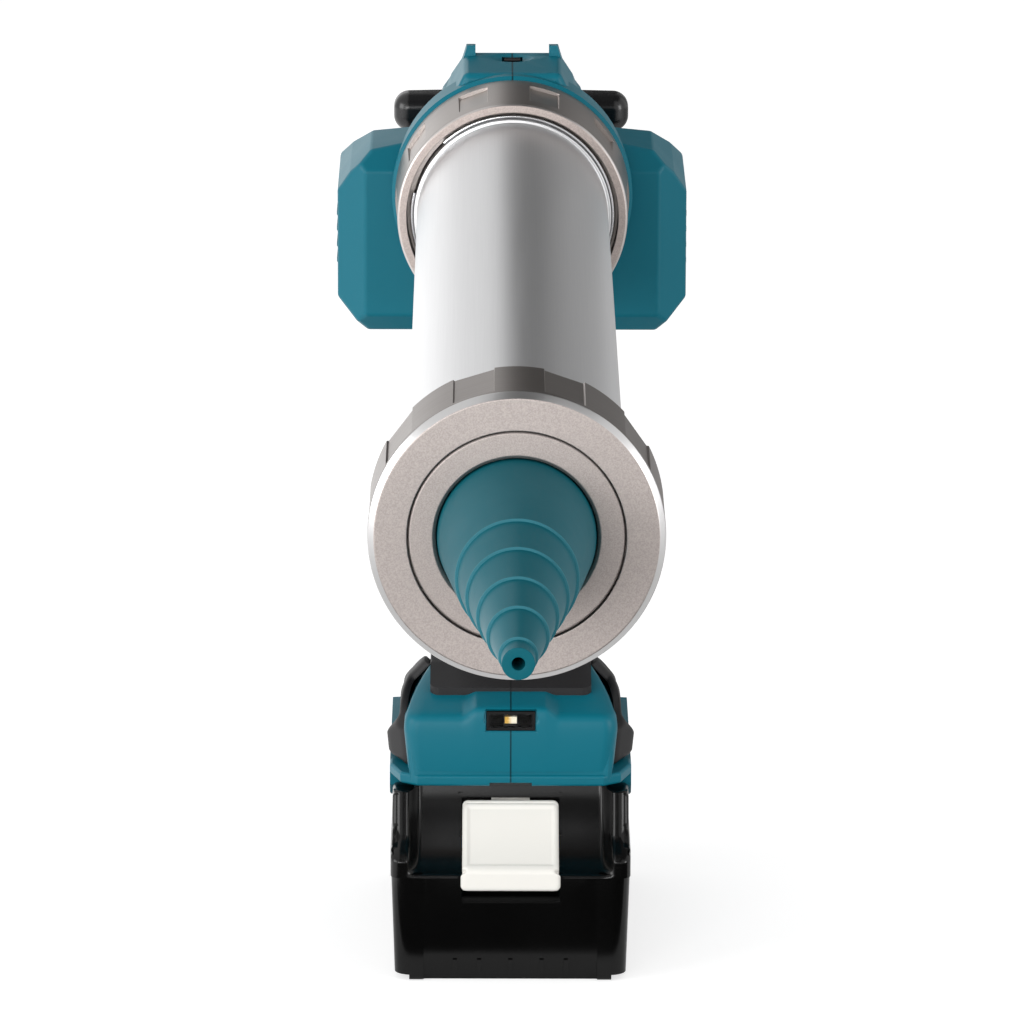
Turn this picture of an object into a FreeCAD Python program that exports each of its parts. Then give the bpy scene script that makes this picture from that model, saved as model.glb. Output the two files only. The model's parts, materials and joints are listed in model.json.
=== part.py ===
"""Cordless caulking tool: barrel, drive, housing, controls and battery as separate pieces.

Millimetres. X runs to the right as the tool faces the viewer, the nozzle points along -Y and +Z is up.
The origin is the middle of the battery's underside, on the surface that the tool stands on.
"""
import FreeCAD, Part
import math
import os
from types import SimpleNamespace

import Sketcher
from FreeCAD import Placement, Rotation, Vector

SIZES = {
    # Gaps that all pieces share
    "overrun": 6.0, "run_gap": 0.3, "shaft_gap": 0.03, "seat_gap": 0.02, "face_gap": 0.2,
    # Barrel
    "barrel_reach": 379.3, "tube_radius": 29.0, "tube_wall": 1.0, "sleeve_radius": 30.0,
    "sleeve_start": 0.5, "flange_radius": 32.4, "flange_thick": 3.5, "clip_wire": 0.6, "clip_depth": 2.6,
    "clip_angle": 326.0, "clip_turn": -167.0,
    "cap_radius": 38.5, "cap_length": 29.0, "cap_lip": 3.0, "cap_lip_radius": 28.3,
    "cap_bore_radius": 34.5, "cap_edge": 1.7, "cap_recess_end": 3.5, "cap_recess_width": 10.6,
    "cap_recess_floor": 37.6, "cap_turn": -17.0, "recess_count": 10, "collar_radius": 34.2,
    "collar_length": 20.0, "disc_radius": 28.0, "disc_hole_radius": 20.9, "disc_flange_radius": 33.8,
    "disc_flange": 2.5, "disc_recess": 0.3, "disc_edge": 0.8, "nozzle_length": 119.0,
    "nozzle_radius": 20.5, "nozzle_tip_radius": 4.08, "nozzle_flange_radius": 26.0, "nozzle_flange": 3.0,
    "nozzle_step": 0.7, "nozzle_wall": 2.0, "outlet_radius": 1.65, "outlet_length": 10.0,
    "nut_front_radius": 35.0, "nut_back_radius": 36.0, "nut_length": 31.0, "nut_mouth_radius": 32.2,
    "nut_mouth_depth": 5.5, "nut_lip": 5.0, "nut_bore_radius": 33.0, "nut_edge": 0.6, "nut_gap": 4.0,
    "nut_recess_width": 8.8, "nut_recess_floor": 34.7, "nut_recess_end": 6.0, "nut_turn": -20.0,
    # Rod, piston and pull handle
    "rod_width": 8.0, "rod_height": 10.0, "rod_bite": 11.0,
    "piston_length": 20.0, "piston_gap": 0.4, "piston_face": 4.0, "piston_skirt": 2.2,
    "piston_boss_radius": 11.0, "piston_lead": 2.0, "piston_edge": 2.5, "screw_radius": 2.5,
    "screw_head_radius": 5.0, "screw_head": 3.0, "screw_length": 16.0, "screw_socket": 2.0,
    "handle_half_width": 37.8, "handle_height": 12.5, "handle_gap": 8.0, "handle_depth": 14.0,
    "handle_round": 5.0, "handle_waist": 2.0, "handle_stem_radius": 9.0, "handle_stem": 5.0,
    "handle_pin_radius": 2.5,
    # Gear train
    "rack_module": 1.25, "rack_teeth": 94, "rack_addendum": 1.1, "tooth_gap": 0.3, "tooth_slack": 0.1,
    "pinion_teeth": 16, "pinion_lead": 30.0, "pinion_width": 12.0, "spur_module": 1.0, "spur_teeth": 36,
    "output_teeth": 20, "spur_width": 8.0, "spur_gap": 1.0, "axis_spread": 0.05, "motor_angle": 20.0,
    "shaft_radius": 4.0, "bearing_radius": 9.5, "bearing_width": 5.0, "race_width": 2.0, "race_step": 0.5,
    "motor_radius": 16.0, "motor_edge": 2.0, "motor_room": 3.506,
    "motor_neck_radius": 6.0, "motor_neck": 3.0, "gearbox_length": 30.0, "gearbox_rib": 3.0,
    "gearbox_rib_depth": 1.0, "gearbox_gap": 2.0, "output_shaft_radius": 3.0, "rotor_shaft_radius": 2.0,
    "fan_radius": 12.5, "fan_disc": 1.2, "fan_width": 5.0, "fan_room": 2.5, "fan_blades": 9,
    "fan_blade": 1.2, "fan_hub_radius": 4.5,
    "cover_room": 9.5, "cover_post_radius": 2.5, "cover_margin": 4.5, "cover_boss": 0.8,
    # Gear frame
    "frame_width": 30.0, "frame_room": 2.5, "beam_gap": 3.0, "beam_thick": 7.0,
    "block_reach": 22.0, "block_drop": 38.0, "tail_length": 12.0, "tail_lip": 0.5,
    "nose_radius": 32.7, "nose_bore_radius": 28.0, "nose_depth": 10.6, "nose_neck_radius": 26.0,
    "bush_radius": 9.5, "bush_length": 12.0, "bush_flange_radius": 12.0, "bush_flange": 2.0,
    # Housing
    "wall": 2.5, "wing_half_width": 54.0, "wing_inset": 2.0, "wing_room": 5.14, "gear_room": 3.7,
    "wing_crown_half": 30.0, "wing_fall": 2.5, "wing_top_half": 43.6, "wing_shoulder_half": 50.0,
    "wing_shoulder_drop": 9.4, "wing_side_drop": 16.0, "wing_hip_rise": 10.0, "wing_floor_half": 44.8,
    "wing_face_half": 45.4, "wing_cheek": 8.4, "wing_brow": 8.4, "wing_brow_depth": 6.5,
    "wing_chin": 6.0, "wing_ridge": 28.0, "wing_tail_drop": 22.0, "wing_round": 2.2,
    "trunk_lead": 36.0, "trunk_length": 109.0, "trunk_top_half": 14.7, "eave_drop": 8.8,
    "trunk_eave_half": 19.0, "trunk_half_width": 25.5, "side_rise": 6.0, "trunk_lift": 1.5,
    "trunk_floor_half": 18.0, "crown_lead": 33.0, "roof_lead": 22.0, "roof_rise": 3.0,
    "tail_roof": 3.0, "tail_chin": 6.0, "heel_lead": 4.0,
    "trunk_round": 2.2, "ring_radius": 37.0, "ring_step": 0.8, "flange_edge": 1.2, "collar_back": 16.0,
    "horn_inner": 11.4, "horn_outer": 14.9, "horn_front": 6.0, "horn_back": 3.0, "horn_rise": 3.2,
    "horn_lean": 0.9, "vent_count": 5, "vent_width": 2.2, "vent_pitch": 5.0, "vent_length": 26.0,
    "vent_lead": 36.0, "vent_lift": 1.5, "louvre_width": 1.5, "louvre_proud": 0.7,
    "grip_place": 12.0, "grip_length": 132.5, "grip_bury": 7.5, "grip_depth": 23.0,
    "grip_half_width": 17.5, "pad_thick": 1.8, "pad_drop": 10.0, "apron_half": 25.2, "apron_lead": 14.0,
    "apron_thick": 2.2, "apron_back": 18.0, "apron_round": 3.0,
    "case_screw_radius": 1.8, "case_screw_head": 2.2, "case_head_radius": 3.4, "case_screw_bite": 7.0,
    "case_post_radius": 4.6, "case_post_margin": 0.6,
    # Base
    "deck_gap": 1.0, "base_rise": 29.0, "base_lead": 16.0, "base_end": 1.0, "base_margin": 2.8,
    "base_top_half": 24.0, "base_foot_half": 31.2, "base_round": 3.0, "base_fall": 17.0,
    "nose_rise": 23.0, "nose_foot_rise": 5.0, "shoulder_rise": 19.5,
    "ridge_half": 12.8, "ridge_rise": 25.4, "ridge_length": 13.2, "ridge_slope": 0.5,
    "lip_height": 3.6, "lip_proud": 0.8, "lip_half": 29.0, "lip_cheek": 34.4, "lip_sweep": 3.6,
    "lip_tail": 6.0, "lip_round": 1.0,
    "skirt_gap": 0.6, "skirt_thick": 6.8, "skirt_drop": 14.0, "skirt_lead": 13.0, "skirt_end": 6.0,
    "skirt_tip": 7.0, "skirt_sweep": 25.0, "rail_reach": 2.6, "rail_drop": 11.0, "rail_height": 3.0,
    "bumper_proud": 1.6, "bumper_lead": 9.0, "bumper_end": 12.0, "bumper_lift": 2.2,
    "bumper_rise": 27.8, "bumper_round": 3.0,
    # Controls
    "trigger_half": 7.0, "trigger_height": 32.0, "trigger_drop": 26.0, "trigger_lead": 13.0,
    "trigger_depth": 19.0, "trigger_dish": 5.0, "trigger_round": 2.5, "trigger_travel": 7.0,
    "trigger_stem": 3.0, "switch_half": 9.0, "switch_gap": 2.0, "switch_depth": 21.0,
    "lock_radius": 4.5, "lock_half": 21.5, "lock_rise": 8.0, "lock_lead": 6.0,
    "lock_waist": 3.2, "dial_radius": 9.0, "dial_width": 5.0, "dial_lead": 25.0, "dial_sink": 0.2,
    "dial_seat": 3.4, "dial_notches": 20, "dial_notch": 0.55, "dial_slot": 6.4, "dial_pin_radius": 1.5,
    "dial_pin": 9.5, "dial_board_thick": 1.6, "dial_board_length": 26.0, "dish_radius": 14.0,
    "dish_depth": 1.8,
    "led_half": 7.5, "led_rise": 18.0, "led_height": 6.0, "led_depth": 9.0, "led_chip": 2.2,
    "led_chip_height": 1.8, "lens_thick": 1.2,
    "board_half": 22.0, "board_lead": 23.0, "board_end": 14.0, "board_rise": 9.0, "board_thick": 1.6,
    "block_half": 17.0, "block_lead": 6.0, "block_length": 30.0, "block_rise": 6.0,
    "blade_thick": 0.9, "blade_place": 11.0, "blade_length": 14.0, "blade_drop": 8.0, "fin_count": 5,
    # Battery
    "battery_length": 118.0, "tray_draft": 1.2, "tray_flare": 1.4, "cell_side": 2.9, "cell_roof": 2.2,
    "seam_drop": 8.0, "deck_rise": 15.0, "deck_inset": 7.0, "deck_lead": 15.0, "deck_round": 1.5,
    "tray_round": 5.0, "tray_edge": 1.8, "tray_wall": 2.0, "foot_inset": 5.9, "foot_rise": 2.0,
    "step_depth": 1.6, "step_rise": 1.2, "chin_height": 9.0, "chin_depth": 2.6, "chin_half": 27.0,
    "chin_rib": 1.3, "pillar_inset": 1.4, "pillar_margin": 0.6, "pillar_lead": 1.3, "pillar_brow": 14.5,
    "pillar_block": 3.4, "pillar_neck": 9.5, "pillar_drop": 0.8, "pillar_end": 1.5, "pillar_round": 1.6,
    "scoop_drop": 0.6, "scoop_depth": 22.0, "scoop_sag": 4.5, "scoop_margin": 0.4, "scoop_round": 6.0,
    "cell_radius": 9.0, "cell_length": 65.0, "cell_rows": 2, "cell_pitch": 18.4, "cell_end": 6.7,
    "cell_start": 18.0, "strap_thick": 0.4, "strap_width": 8.0,
    "button_half": 15.0, "button_drop": 4.5, "button_thick": 3.2, "button_proud": 1.0,
    "button_travel": 4.0, "button_round": 0.9, "button_corner": 1.8, "hook_half": 6.0, "hook_wall": 2.5,
    "hook_depth": 5.0, "hook_rise": 1.8, "slot_width": 3.0, "slot_depth": 10.0, "contact_thick": 0.4,
}

# Height along the nozzle and radius there, both as shares, of the steps' rims
NOZZLE_STEP_SHARES = ((0.3395, 0.768), (0.488, 0.638), (0.6395, 0.5045), (0.7915, 0.381), (0.943, 0.2385))
# Height, middle, half depth and half width of the grip's sections, as shares of the grip's own sizes
GRIP_SECTION_SHARES = (
    (1.0, 0.95, 1.12, 1.12), (0.72, 1.0, 0.98, 0.97), (0.36, 1.15, 0.96, 0.96), (0.0, 1.3, 1.25, 1.2),
)
CORNER_SHARE = 0.41
PRESSURE_ANGLE = math.radians(20)
HALF_TURN = 180.0
FULL_TURN = 360.0


class Size(float):
    """A length that remembers the sheet expression it comes from, so that a feature can be bound to it."""

    def __new__(cls, value, text):
        self = super().__new__(cls, value)
        self.text = text
        return self

    def __add__(self, other):
        return Size(float(self) + float(other), f"({self.text} + {text_of(other)})")

    __radd__ = __add__

    def __sub__(self, other):
        return Size(float(self) - float(other), f"({self.text} - {text_of(other)})")

    def __rsub__(self, other):
        return Size(float(other) - float(self), f"({text_of(other)} - {self.text})")

    def __mul__(self, other):
        return Size(float(self) * float(other), f"({self.text} * {text_of(other)})")

    __rmul__ = __mul__

    def __truediv__(self, other):
        return Size(float(self) / float(other), f"({self.text} / {text_of(other)})")

    def __neg__(self):
        return Size(-float(self), f"(0 - {self.text})")


def text_of(value):
    return value.text if isinstance(value, Size) else repr(float(value))


doc = FreeCAD.newDocument("caulking_tool")
sheet = doc.addObject("Spreadsheet::Sheet", "dims")
for row, (name, value) in enumerate(SIZES.items(), start=1):
    sheet.set(f"A{row}", name)
    sheet.set(f"B{row}", str(value))
    sheet.setAlias(f"B{row}", name)
doc.recompute()
d = SimpleNamespace(**{name: Size(sheet.get(name), f"dims.{name}") for name in SIZES})
parts = {}

# Heights that follow from the sizes, from the battery's underside up

d.cell_floor = d.tray_wall + d.foot_rise
d.battery_shoulder = d.cell_floor + d.cell_pitch * d.cell_rows + d.cell_roof
d.tray_seam = d.battery_shoulder - d.seam_drop
d.scoop_floor = d.tray_seam - d.scoop_drop
d.button_foot = d.scoop_floor - d.button_drop
d.deck_top = d.battery_shoulder + d.deck_rise
d.pillar_top = d.deck_top - d.pillar_drop
d.base_floor = d.deck_top + d.deck_gap
d.base_top = d.base_floor + d.base_rise
d.nose_edge = d.base_floor + d.nose_rise
d.nose_foot = d.base_floor + d.nose_foot_rise
d.base_shoulder = d.base_floor + d.shoulder_rise
d.ridge_top = d.base_floor + d.ridge_rise
d.skirt_floor = d.base_floor - d.skirt_drop
d.rail_floor = d.base_floor - d.rail_drop
d.bumper_floor = d.base_floor + d.bumper_lift
d.bumper_top = d.base_floor + d.bumper_rise
d.led_floor = d.base_floor + d.led_rise
d.board_height = d.base_floor + d.board_rise
d.grip_foot = d.base_floor + d.base_rise / 2
d.grip_top = d.grip_foot + d.grip_length
d.trigger_top = d.grip_top - d.trigger_drop
d.trigger_floor = d.trigger_top - d.trigger_height
d.lock_height = d.trigger_top + d.lock_rise
d.pad_top = d.trigger_floor - d.pad_drop
d.wing_floor = d.grip_top - d.grip_bury
axis_distance = d.spur_module * (d.spur_teeth + d.output_teeth) / 2 + d.axis_spread
motor_lean = math.radians(d.motor_angle)
pinion_radius = d.rack_module * d.pinion_teeth / 2
motor_height = d.wing_floor + d.wall + d.motor_room + d.motor_radius
pinion_height = motor_height + axis_distance * math.sin(motor_lean)
d.axis_height = pinion_height + pinion_radius - d.rack_addendum + d.rod_height / 2
d.beam_floor = d.axis_height + d.rod_height / 2 + d.beam_gap
d.frame_top = d.beam_floor + d.beam_thick
d.block_floor = d.axis_height - d.block_drop
d.tail_floor = d.axis_height - d.bush_radius - d.tail_lip
cover_reach = d.spur_module * d.spur_teeth / 2 + d.spur_module + d.cover_post_radius + d.run_gap * 2
d.wing_top = pinion_height + cover_reach + d.gear_room + d.wall
d.wing_hip = d.wing_floor + d.wing_hip_rise
d.vent_height = motor_height + d.vent_lift
d.dial_height = d.frame_top + d.dial_seat + d.run_gap * 2 + d.dial_radius
d.trunk_top = d.dial_height + d.dial_radius + d.dial_sink
d.trunk_eave = d.trunk_top - d.eave_drop
d.trunk_side = d.axis_height + d.side_rise
d.trunk_floor = d.wing_floor + d.trunk_lift
d.trunk_tail_top = d.frame_top + d.tail_roof
d.trunk_tail_floor = d.axis_height - d.bush_flange_radius - d.tail_chin

# Places along the tool, from the grip and from the battery's front

d.trunk_front = d.grip_place - d.trunk_lead
d.trunk_back = d.trunk_front + d.trunk_length
d.trunk_crown = d.trunk_front + d.crown_lead
d.nut_front = d.trunk_front - d.nut_gap - d.nut_length
d.pinion_place = d.trunk_front + d.pinion_lead
motor_place = d.pinion_place + axis_distance * math.cos(motor_lean)
d.wing_front = d.trunk_front + d.wing_inset
d.wing_back = motor_place + d.motor_radius + d.wing_room + d.wall
d.trunk_heel = d.wing_back + d.heel_lead
d.vent_place = d.trunk_front + d.vent_lead
d.dial_place = d.trunk_front + d.dial_lead
d.block_back = d.pinion_place + d.block_reach
d.frame_back = d.trunk_back - d.wall - d.bush_flange - d.frame_room
d.handle_front = d.trunk_back + d.handle_gap
d.rod_back = d.handle_front + d.rod_bite
d.trigger_front = d.grip_place - d.grip_depth - d.trigger_lead
d.trigger_back = d.trigger_front + d.trigger_depth
d.switch_front = d.trigger_back + d.trigger_travel + d.switch_gap
d.switch_back = d.switch_front + d.switch_depth
d.lock_place = d.grip_place - d.lock_lead
d.block_front = d.grip_place - d.block_lead
half_length = d.battery_length / 2
battery_front = -half_length
d.base_front = battery_front + d.base_lead
d.base_back = half_length - d.base_end
d.ridge_back = d.base_front + d.ridge_length
d.apron_front = d.base_front + d.apron_lead
d.skirt_front = d.base_front + d.skirt_lead
d.skirt_back = d.base_back - d.skirt_end
d.bumper_front = d.base_front + d.bumper_lead
d.bumper_back = d.base_back - d.bumper_end
d.board_front = d.base_front + d.board_lead
d.board_back = d.base_back - d.board_end
d.deck_front = battery_front + d.deck_lead
d.pillar_back = d.skirt_front - d.pillar_end
d.scoop_back = battery_front + d.scoop_depth
d.hook_front = d.scoop_back + d.hook_wall

# Places across the tool, from its wings and from the length of a cell

d.motor_start = d.fan_room + d.fan_width + d.motor_neck + d.motor_edge / 2 + d.wall - d.wing_half_width
cover_end = d.wing_half_width - d.wall - d.cover_room
d.cover_start = cover_end - d.bearing_width
d.spur_start = d.cover_start - d.spur_gap - d.spur_width
gearbox_end = d.spur_start - d.gearbox_gap
gearbox_start = gearbox_end - d.gearbox_length
d.trunk_tail_half = d.frame_width / 2 + d.wall + d.run_gap
d.tray_half = d.cell_length / 2 + d.tray_wall + d.cell_side
d.tray_foot_half = d.tray_half - d.tray_flare
d.foot_half = d.tray_half - d.foot_inset
d.deck_half = d.tray_half - d.deck_inset
d.scoop_half = d.deck_half + d.scoop_margin
d.pillar_inner = d.deck_half - d.pillar_inset
d.pillar_outer = d.tray_half - d.pillar_margin
d.skirt_inner = d.deck_half + d.skirt_gap
d.skirt_outer = d.skirt_inner + d.skirt_thick
d.base_half_width = d.deck_half + d.base_margin
d.bumper_reach = d.skirt_outer + d.bumper_proud


def bind(obj, prop, value):
    """Sets a property and ties it to the sheet where the value came from there."""
    if isinstance(value, Size):
        obj.setExpression(prop, value.text)
    else:
        setattr(obj, prop, value)


def place(obj, x=0.0, y=0.0, z=0.0, turn=None):
    """Puts an object at a point, with its coordinates tied to the sheet."""
    obj.Placement = Placement(Vector(x, y, z), turn or Rotation())
    for axis, value in zip("xyz", (x, y, z)):
        if isinstance(value, Size):
            obj.setExpression(f"Placement.Base.{axis}", value.text)
    return obj


def keep(name, obj):
    """Names an object as a finished sub-part."""
    obj.Label = name
    parts[name] = obj
    return obj


# Sketches and the features made from them

def new_body(name, x=0.0, y=0.0, z=0.0, turn=None):
    return place(doc.addObject("PartDesign::Body", name), x, y, z, turn)


def new_sketch(body, plane, offset=0.0):
    origin_plane = next(item for item in body.Origin.OriginFeatures if item.Role == plane)
    sketch = body.newObject("Sketcher::SketchObject", f"{body.Name}_sketch")
    sketch.AttachmentSupport = (origin_plane, [""])
    sketch.MapMode = "FlatFace"
    if isinstance(offset, Size):
        sketch.AttachmentOffset = Placement(Vector(0, 0, offset), Rotation())
        sketch.setExpression("AttachmentOffset.Base.z", offset.text)
    return sketch


def pin_point(sketch, geometry, position, x, y):
    for kind, value in (("DistanceX", x), ("DistanceY", y)):
        index = sketch.addConstraint(Sketcher.Constraint(kind, -1, 1, geometry, position, float(value)))
        if isinstance(value, Size):
            sketch.setExpression(f"Constraints[{index}]", value.text)


def draw_outline(sketch, corners):
    """Closed outline of straight sides through the corners, each tied to the sheet."""
    first = sketch.GeometryCount
    count = len(corners)
    points = [Vector(float(x), float(y), 0) for x, y in corners]
    for i in range(count):
        sketch.addGeometry(Part.LineSegment(points[i], points[(i + 1) % count]), False)
    for i in range(count):
        sketch.addConstraint(Sketcher.Constraint("Coincident", first + i, 2, first + (i + 1) % count, 1))
    for i, (x, y) in enumerate(corners):
        pin_point(sketch, first + i, 1, x, y)


def draw_circle(sketch, x, y, radius):
    circle = Part.Circle(Vector(float(x), float(y), 0), Vector(0, 0, 1), float(radius))
    index = sketch.addGeometry(circle, False)
    pin_point(sketch, index, 3, x, y)
    rule = sketch.addConstraint(Sketcher.Constraint("Radius", index, float(radius)))
    sketch.setExpression(f"Constraints[{rule}]", radius.text)


def add_pad(body, sketch, length, middle=False, back=False):
    pad = body.newObject("PartDesign::Pad", f"{body.Name}_pad")
    pad.Profile = sketch
    pad.Midplane = middle
    pad.Reversed = back
    bind(pad, "Length", length)
    return pad


def add_pocket(body, sketch, length=None, middle=False, back=False):
    pocket = body.newObject("PartDesign::Pocket", f"{body.Name}_pocket")
    pocket.Profile = sketch
    pocket.Midplane = middle
    pocket.Reversed = back
    if length is None:
        pocket.Type = "ThroughAll"
    else:
        bind(pocket, "Length", length)
    return pocket


def add_turn(body, sketch, axis="H_Axis", cut=False):
    kind = "PartDesign::Groove" if cut else "PartDesign::Revolution"
    turn = body.newObject(kind, f"{body.Name}_turn")
    turn.Profile = sketch
    turn.ReferenceAxis = (sketch, [axis])
    turn.Angle = FULL_TURN
    return turn


def add_polar(body, feature, sketch, count):
    """Repeats a feature about its sketch's normal."""
    pattern = body.newObject("PartDesign::PolarPattern", f"{body.Name}_ring")
    pattern.Originals = [feature]
    pattern.Axis = (sketch, ["N_Axis"])
    pattern.Angle = FULL_TURN
    bind(pattern, "Occurrences", count)
    body.Tip = pattern
    return pattern


def turned(name, profile, y=0.0, z=0.0, x=0.0, along="Y", spin=0.0):
    """A piece turned on a lathe: its profile lists places along the axis and radii."""
    turn = Rotation(Vector(0, 1, 0), float(spin)) if along == "Y" else Rotation()
    body = new_body(name, x, y, z, turn)
    sketch = new_sketch(body, "YZ_Plane" if along == "Y" else "XZ_Plane")
    draw_outline(sketch, profile)
    add_turn(body, sketch)
    return body


def prism(name, plane, corners, length, start=0.0, middle=False):
    """An outline on an origin plane, carried straight for a length from a start."""
    body = new_body(name)
    sketch = new_sketch(body, plane, start)
    draw_outline(sketch, corners)
    add_pad(body, sketch, length, middle)
    return body


def box(name, low, high):
    """A block between two corners."""
    block = doc.addObject("Part::Box", name)
    for prop, a, b in zip(("Length", "Width", "Height"), low, high):
        bind(block, prop, b - a)
    return place(block, *low)


def rod_along(name, radius, length, start, along):
    """A round bar from a start point along X, Y or Z."""
    bar = doc.addObject("Part::Cylinder", name)
    bind(bar, "Radius", radius)
    bind(bar, "Height", length)
    turns = {
        "X": Rotation(Vector(0, 1, 0), HALF_TURN / 2),
        "Y": Rotation(Vector(1, 0, 0), -HALF_TURN / 2),
        "Z": Rotation(),
    }
    return place(bar, *start, turns[along])


def fuse(name, *shapes):
    joined = doc.addObject("Part::MultiFuse", name)
    joined.Shapes = list(shapes)
    return joined


def common(name, *shapes):
    shared = doc.addObject("Part::MultiCommon", name)
    shared.Shapes = list(shapes)
    return shared


def cut(name, base, *tools):
    piece = doc.addObject("Part::Cut", name)
    piece.Base = base
    piece.Tool = tools[0] if len(tools) == 1 else fuse(f"{name}_tools", *tools)
    return piece


def rounded(name, base, radius, choose=lambda edge: True):
    """Rounds the chosen edges of a finished block."""
    doc.recompute()
    dress = doc.addObject("Part::Fillet", name)
    dress.Base = base
    picked = [i for i, edge in enumerate(base.Shape.Edges, start=1) if choose(edge)]
    dress.Edges = [(i, float(radius), float(radius)) for i in picked]
    return dress


def runs_along(direction):
    """Test for straight edges along a direction."""
    def test(edge):
        if not isinstance(edge.Curve, Part.Line):
            return False
        return abs(abs(edge.Curve.Direction.dot(direction)) - 1) < SMALL_SHARE
    return test


def mirrored_outline(half):
    """An outline that is the same left and right, from its right half, top to bottom."""
    return [(x, y) for x, y in half] + [(-x, y) for x, y in reversed(half)]


SMALL_SHARE = 1e-6

# Barrel: tube, front cap, retainer disc, nozzle, nut and spring clip

cap_front = d.nut_front - d.barrel_reach
tube_front = cap_front + d.cap_lip + d.disc_flange + d.face_gap
lip_back = d.nut_front + d.nut_mouth_depth + d.nut_lip
flange_front = lip_back + d.face_gap
tube_back = flange_front + d.flange_thick
nut_back = d.nut_front + d.nut_length
nose_front = tube_back + d.face_gap
tube_bore = d.tube_radius - d.tube_wall


def make_tube():
    sleeve = d.nut_front + d.sleeve_start
    profile = [
        (tube_front, tube_bore), (tube_front, d.tube_radius), (sleeve, d.tube_radius),
        (sleeve, d.sleeve_radius), (flange_front, d.sleeve_radius), (flange_front, d.flange_radius),
        (tube_back, d.flange_radius), (tube_back, tube_bore),
    ]
    keep("barrel_tube", turned("barrel_tube", profile, z=d.axis_height))


def make_collar():
    inner = d.tube_radius + d.seat_gap
    back = tube_front + d.collar_length
    profile = [(tube_front, inner), (tube_front, d.collar_radius), (back, d.collar_radius), (back, inner)]
    keep("tube_collar", turned("tube_collar", profile, z=d.axis_height))


def recess_ring(body, back, width, floor, end_margin, front, outer):
    """Shallow flat grip recesses round a ring, from a place near its back to short of its face."""
    sketch = new_sketch(body, "XZ_Plane", -back)
    top = outer + d.overrun
    draw_outline(sketch, [(-width / 2, floor), (width / 2, floor), (width / 2, top), (-width / 2, top)])
    pocket = add_pocket(body, sketch, back - front - end_margin, back=True)
    add_polar(body, pocket, sketch, d.recess_count)


def make_cap():
    back = cap_front + d.cap_length
    bore_front = cap_front + d.cap_lip
    profile = [
        (cap_front, d.cap_lip_radius), (cap_front, d.cap_radius - d.cap_edge),
        (cap_front + d.cap_edge, d.cap_radius), (back, d.cap_radius), (back, d.cap_bore_radius),
        (bore_front, d.cap_bore_radius), (bore_front, d.cap_lip_radius),
    ]
    body = turned("front_cap", profile, z=d.axis_height, spin=d.cap_turn)
    recess_ring(body, back, d.cap_recess_width, d.cap_recess_floor, d.cap_recess_end, cap_front,
                d.cap_radius)
    keep("front_cap", body)


def make_disc():
    face = cap_front + d.disc_recess
    step = cap_front + d.cap_lip + d.face_gap / 2
    back = step + d.disc_flange
    profile = [
        (face + d.disc_edge, d.disc_hole_radius), (face, d.disc_hole_radius + d.disc_edge),
        (face, d.disc_radius - d.disc_edge / 2), (face + d.disc_edge / 2, d.disc_radius),
        (step, d.disc_radius), (step, d.disc_flange_radius), (back, d.disc_flange_radius),
        (back, d.disc_hole_radius),
    ]
    keep("retainer_disc", turned("retainer_disc", profile, z=d.axis_height))
    return back


def make_nozzle(disc_back):
    """Stepped cone on a flange, hollow down to its outlet."""
    flange_face = disc_back + d.face_gap
    flange_back = flange_face + d.nozzle_flange
    tip = cap_front - d.nozzle_length
    outer = [(flange_back, d.nozzle_flange_radius), (flange_face, d.nozzle_flange_radius)]
    outer += [(flange_face, d.nozzle_radius), (cap_front, d.nozzle_radius)]
    for height_share, radius_share in NOZZLE_STEP_SHARES:
        rim = d.nozzle_radius * radius_share
        outer += [(cap_front - d.nozzle_length * height_share, rim)]
        outer += [(cap_front - d.nozzle_length * height_share, rim - d.nozzle_step)]
    outer += [(tip, d.nozzle_tip_radius), (tip, d.outlet_radius), (tip + d.outlet_length, d.outlet_radius)]
    height_share, radius_share = NOZZLE_STEP_SHARES[0]
    inner_rim = d.nozzle_radius * radius_share - d.nozzle_step - d.nozzle_wall
    inner = [(cap_front - d.nozzle_length * height_share, inner_rim)]
    inner += [(cap_front, d.nozzle_radius - d.nozzle_wall), (flange_back, d.nozzle_radius - d.nozzle_wall)]
    keep("nozzle", turned("nozzle", outer + inner, z=d.axis_height))
    return flange_back


def make_nut():
    mouth_back = d.nut_front + d.nut_mouth_depth
    lip_radius = d.sleeve_radius + d.piston_gap
    profile = [
        (d.nut_front, d.nut_mouth_radius), (d.nut_front, d.nut_front_radius - d.nut_edge),
        (d.nut_front + d.nut_edge, d.nut_front_radius), (nut_back, d.nut_back_radius),
        (nut_back, d.nut_bore_radius), (lip_back, d.nut_bore_radius), (lip_back, lip_radius),
        (mouth_back, lip_radius), (mouth_back, d.nut_mouth_radius),
    ]
    body = turned("barrel_nut", profile, z=d.axis_height, spin=d.nut_turn)
    recess_ring(body, nut_back - d.nut_recess_end, d.nut_recess_width, d.nut_recess_floor,
                d.nut_recess_end, d.nut_front, d.nut_back_radius)
    keep("barrel_nut", body)


def make_clip():
    """Open ring of wire on the tube's thick end, which holds the nut captive."""
    clip = doc.addObject("Part::Torus", "spring_clip")
    bind(clip, "Radius1", d.sleeve_radius + d.clip_wire + d.seat_gap)
    bind(clip, "Radius2", d.clip_wire)
    bind(clip, "Angle3", d.clip_angle)
    facing = Rotation(Vector(1, 0, 0), HALF_TURN / 2)
    spin = Rotation(Vector(0, 1, 0), float(d.clip_turn))
    place(clip, 0.0, d.nut_front + d.clip_depth, d.axis_height, spin.multiply(facing))
    keep("spring_clip", clip)


make_tube()
make_collar()
make_cap()
nozzle_flange_back = make_nozzle(make_disc())
make_nut()
make_clip()

# Rod, piston and pull handle

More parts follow.
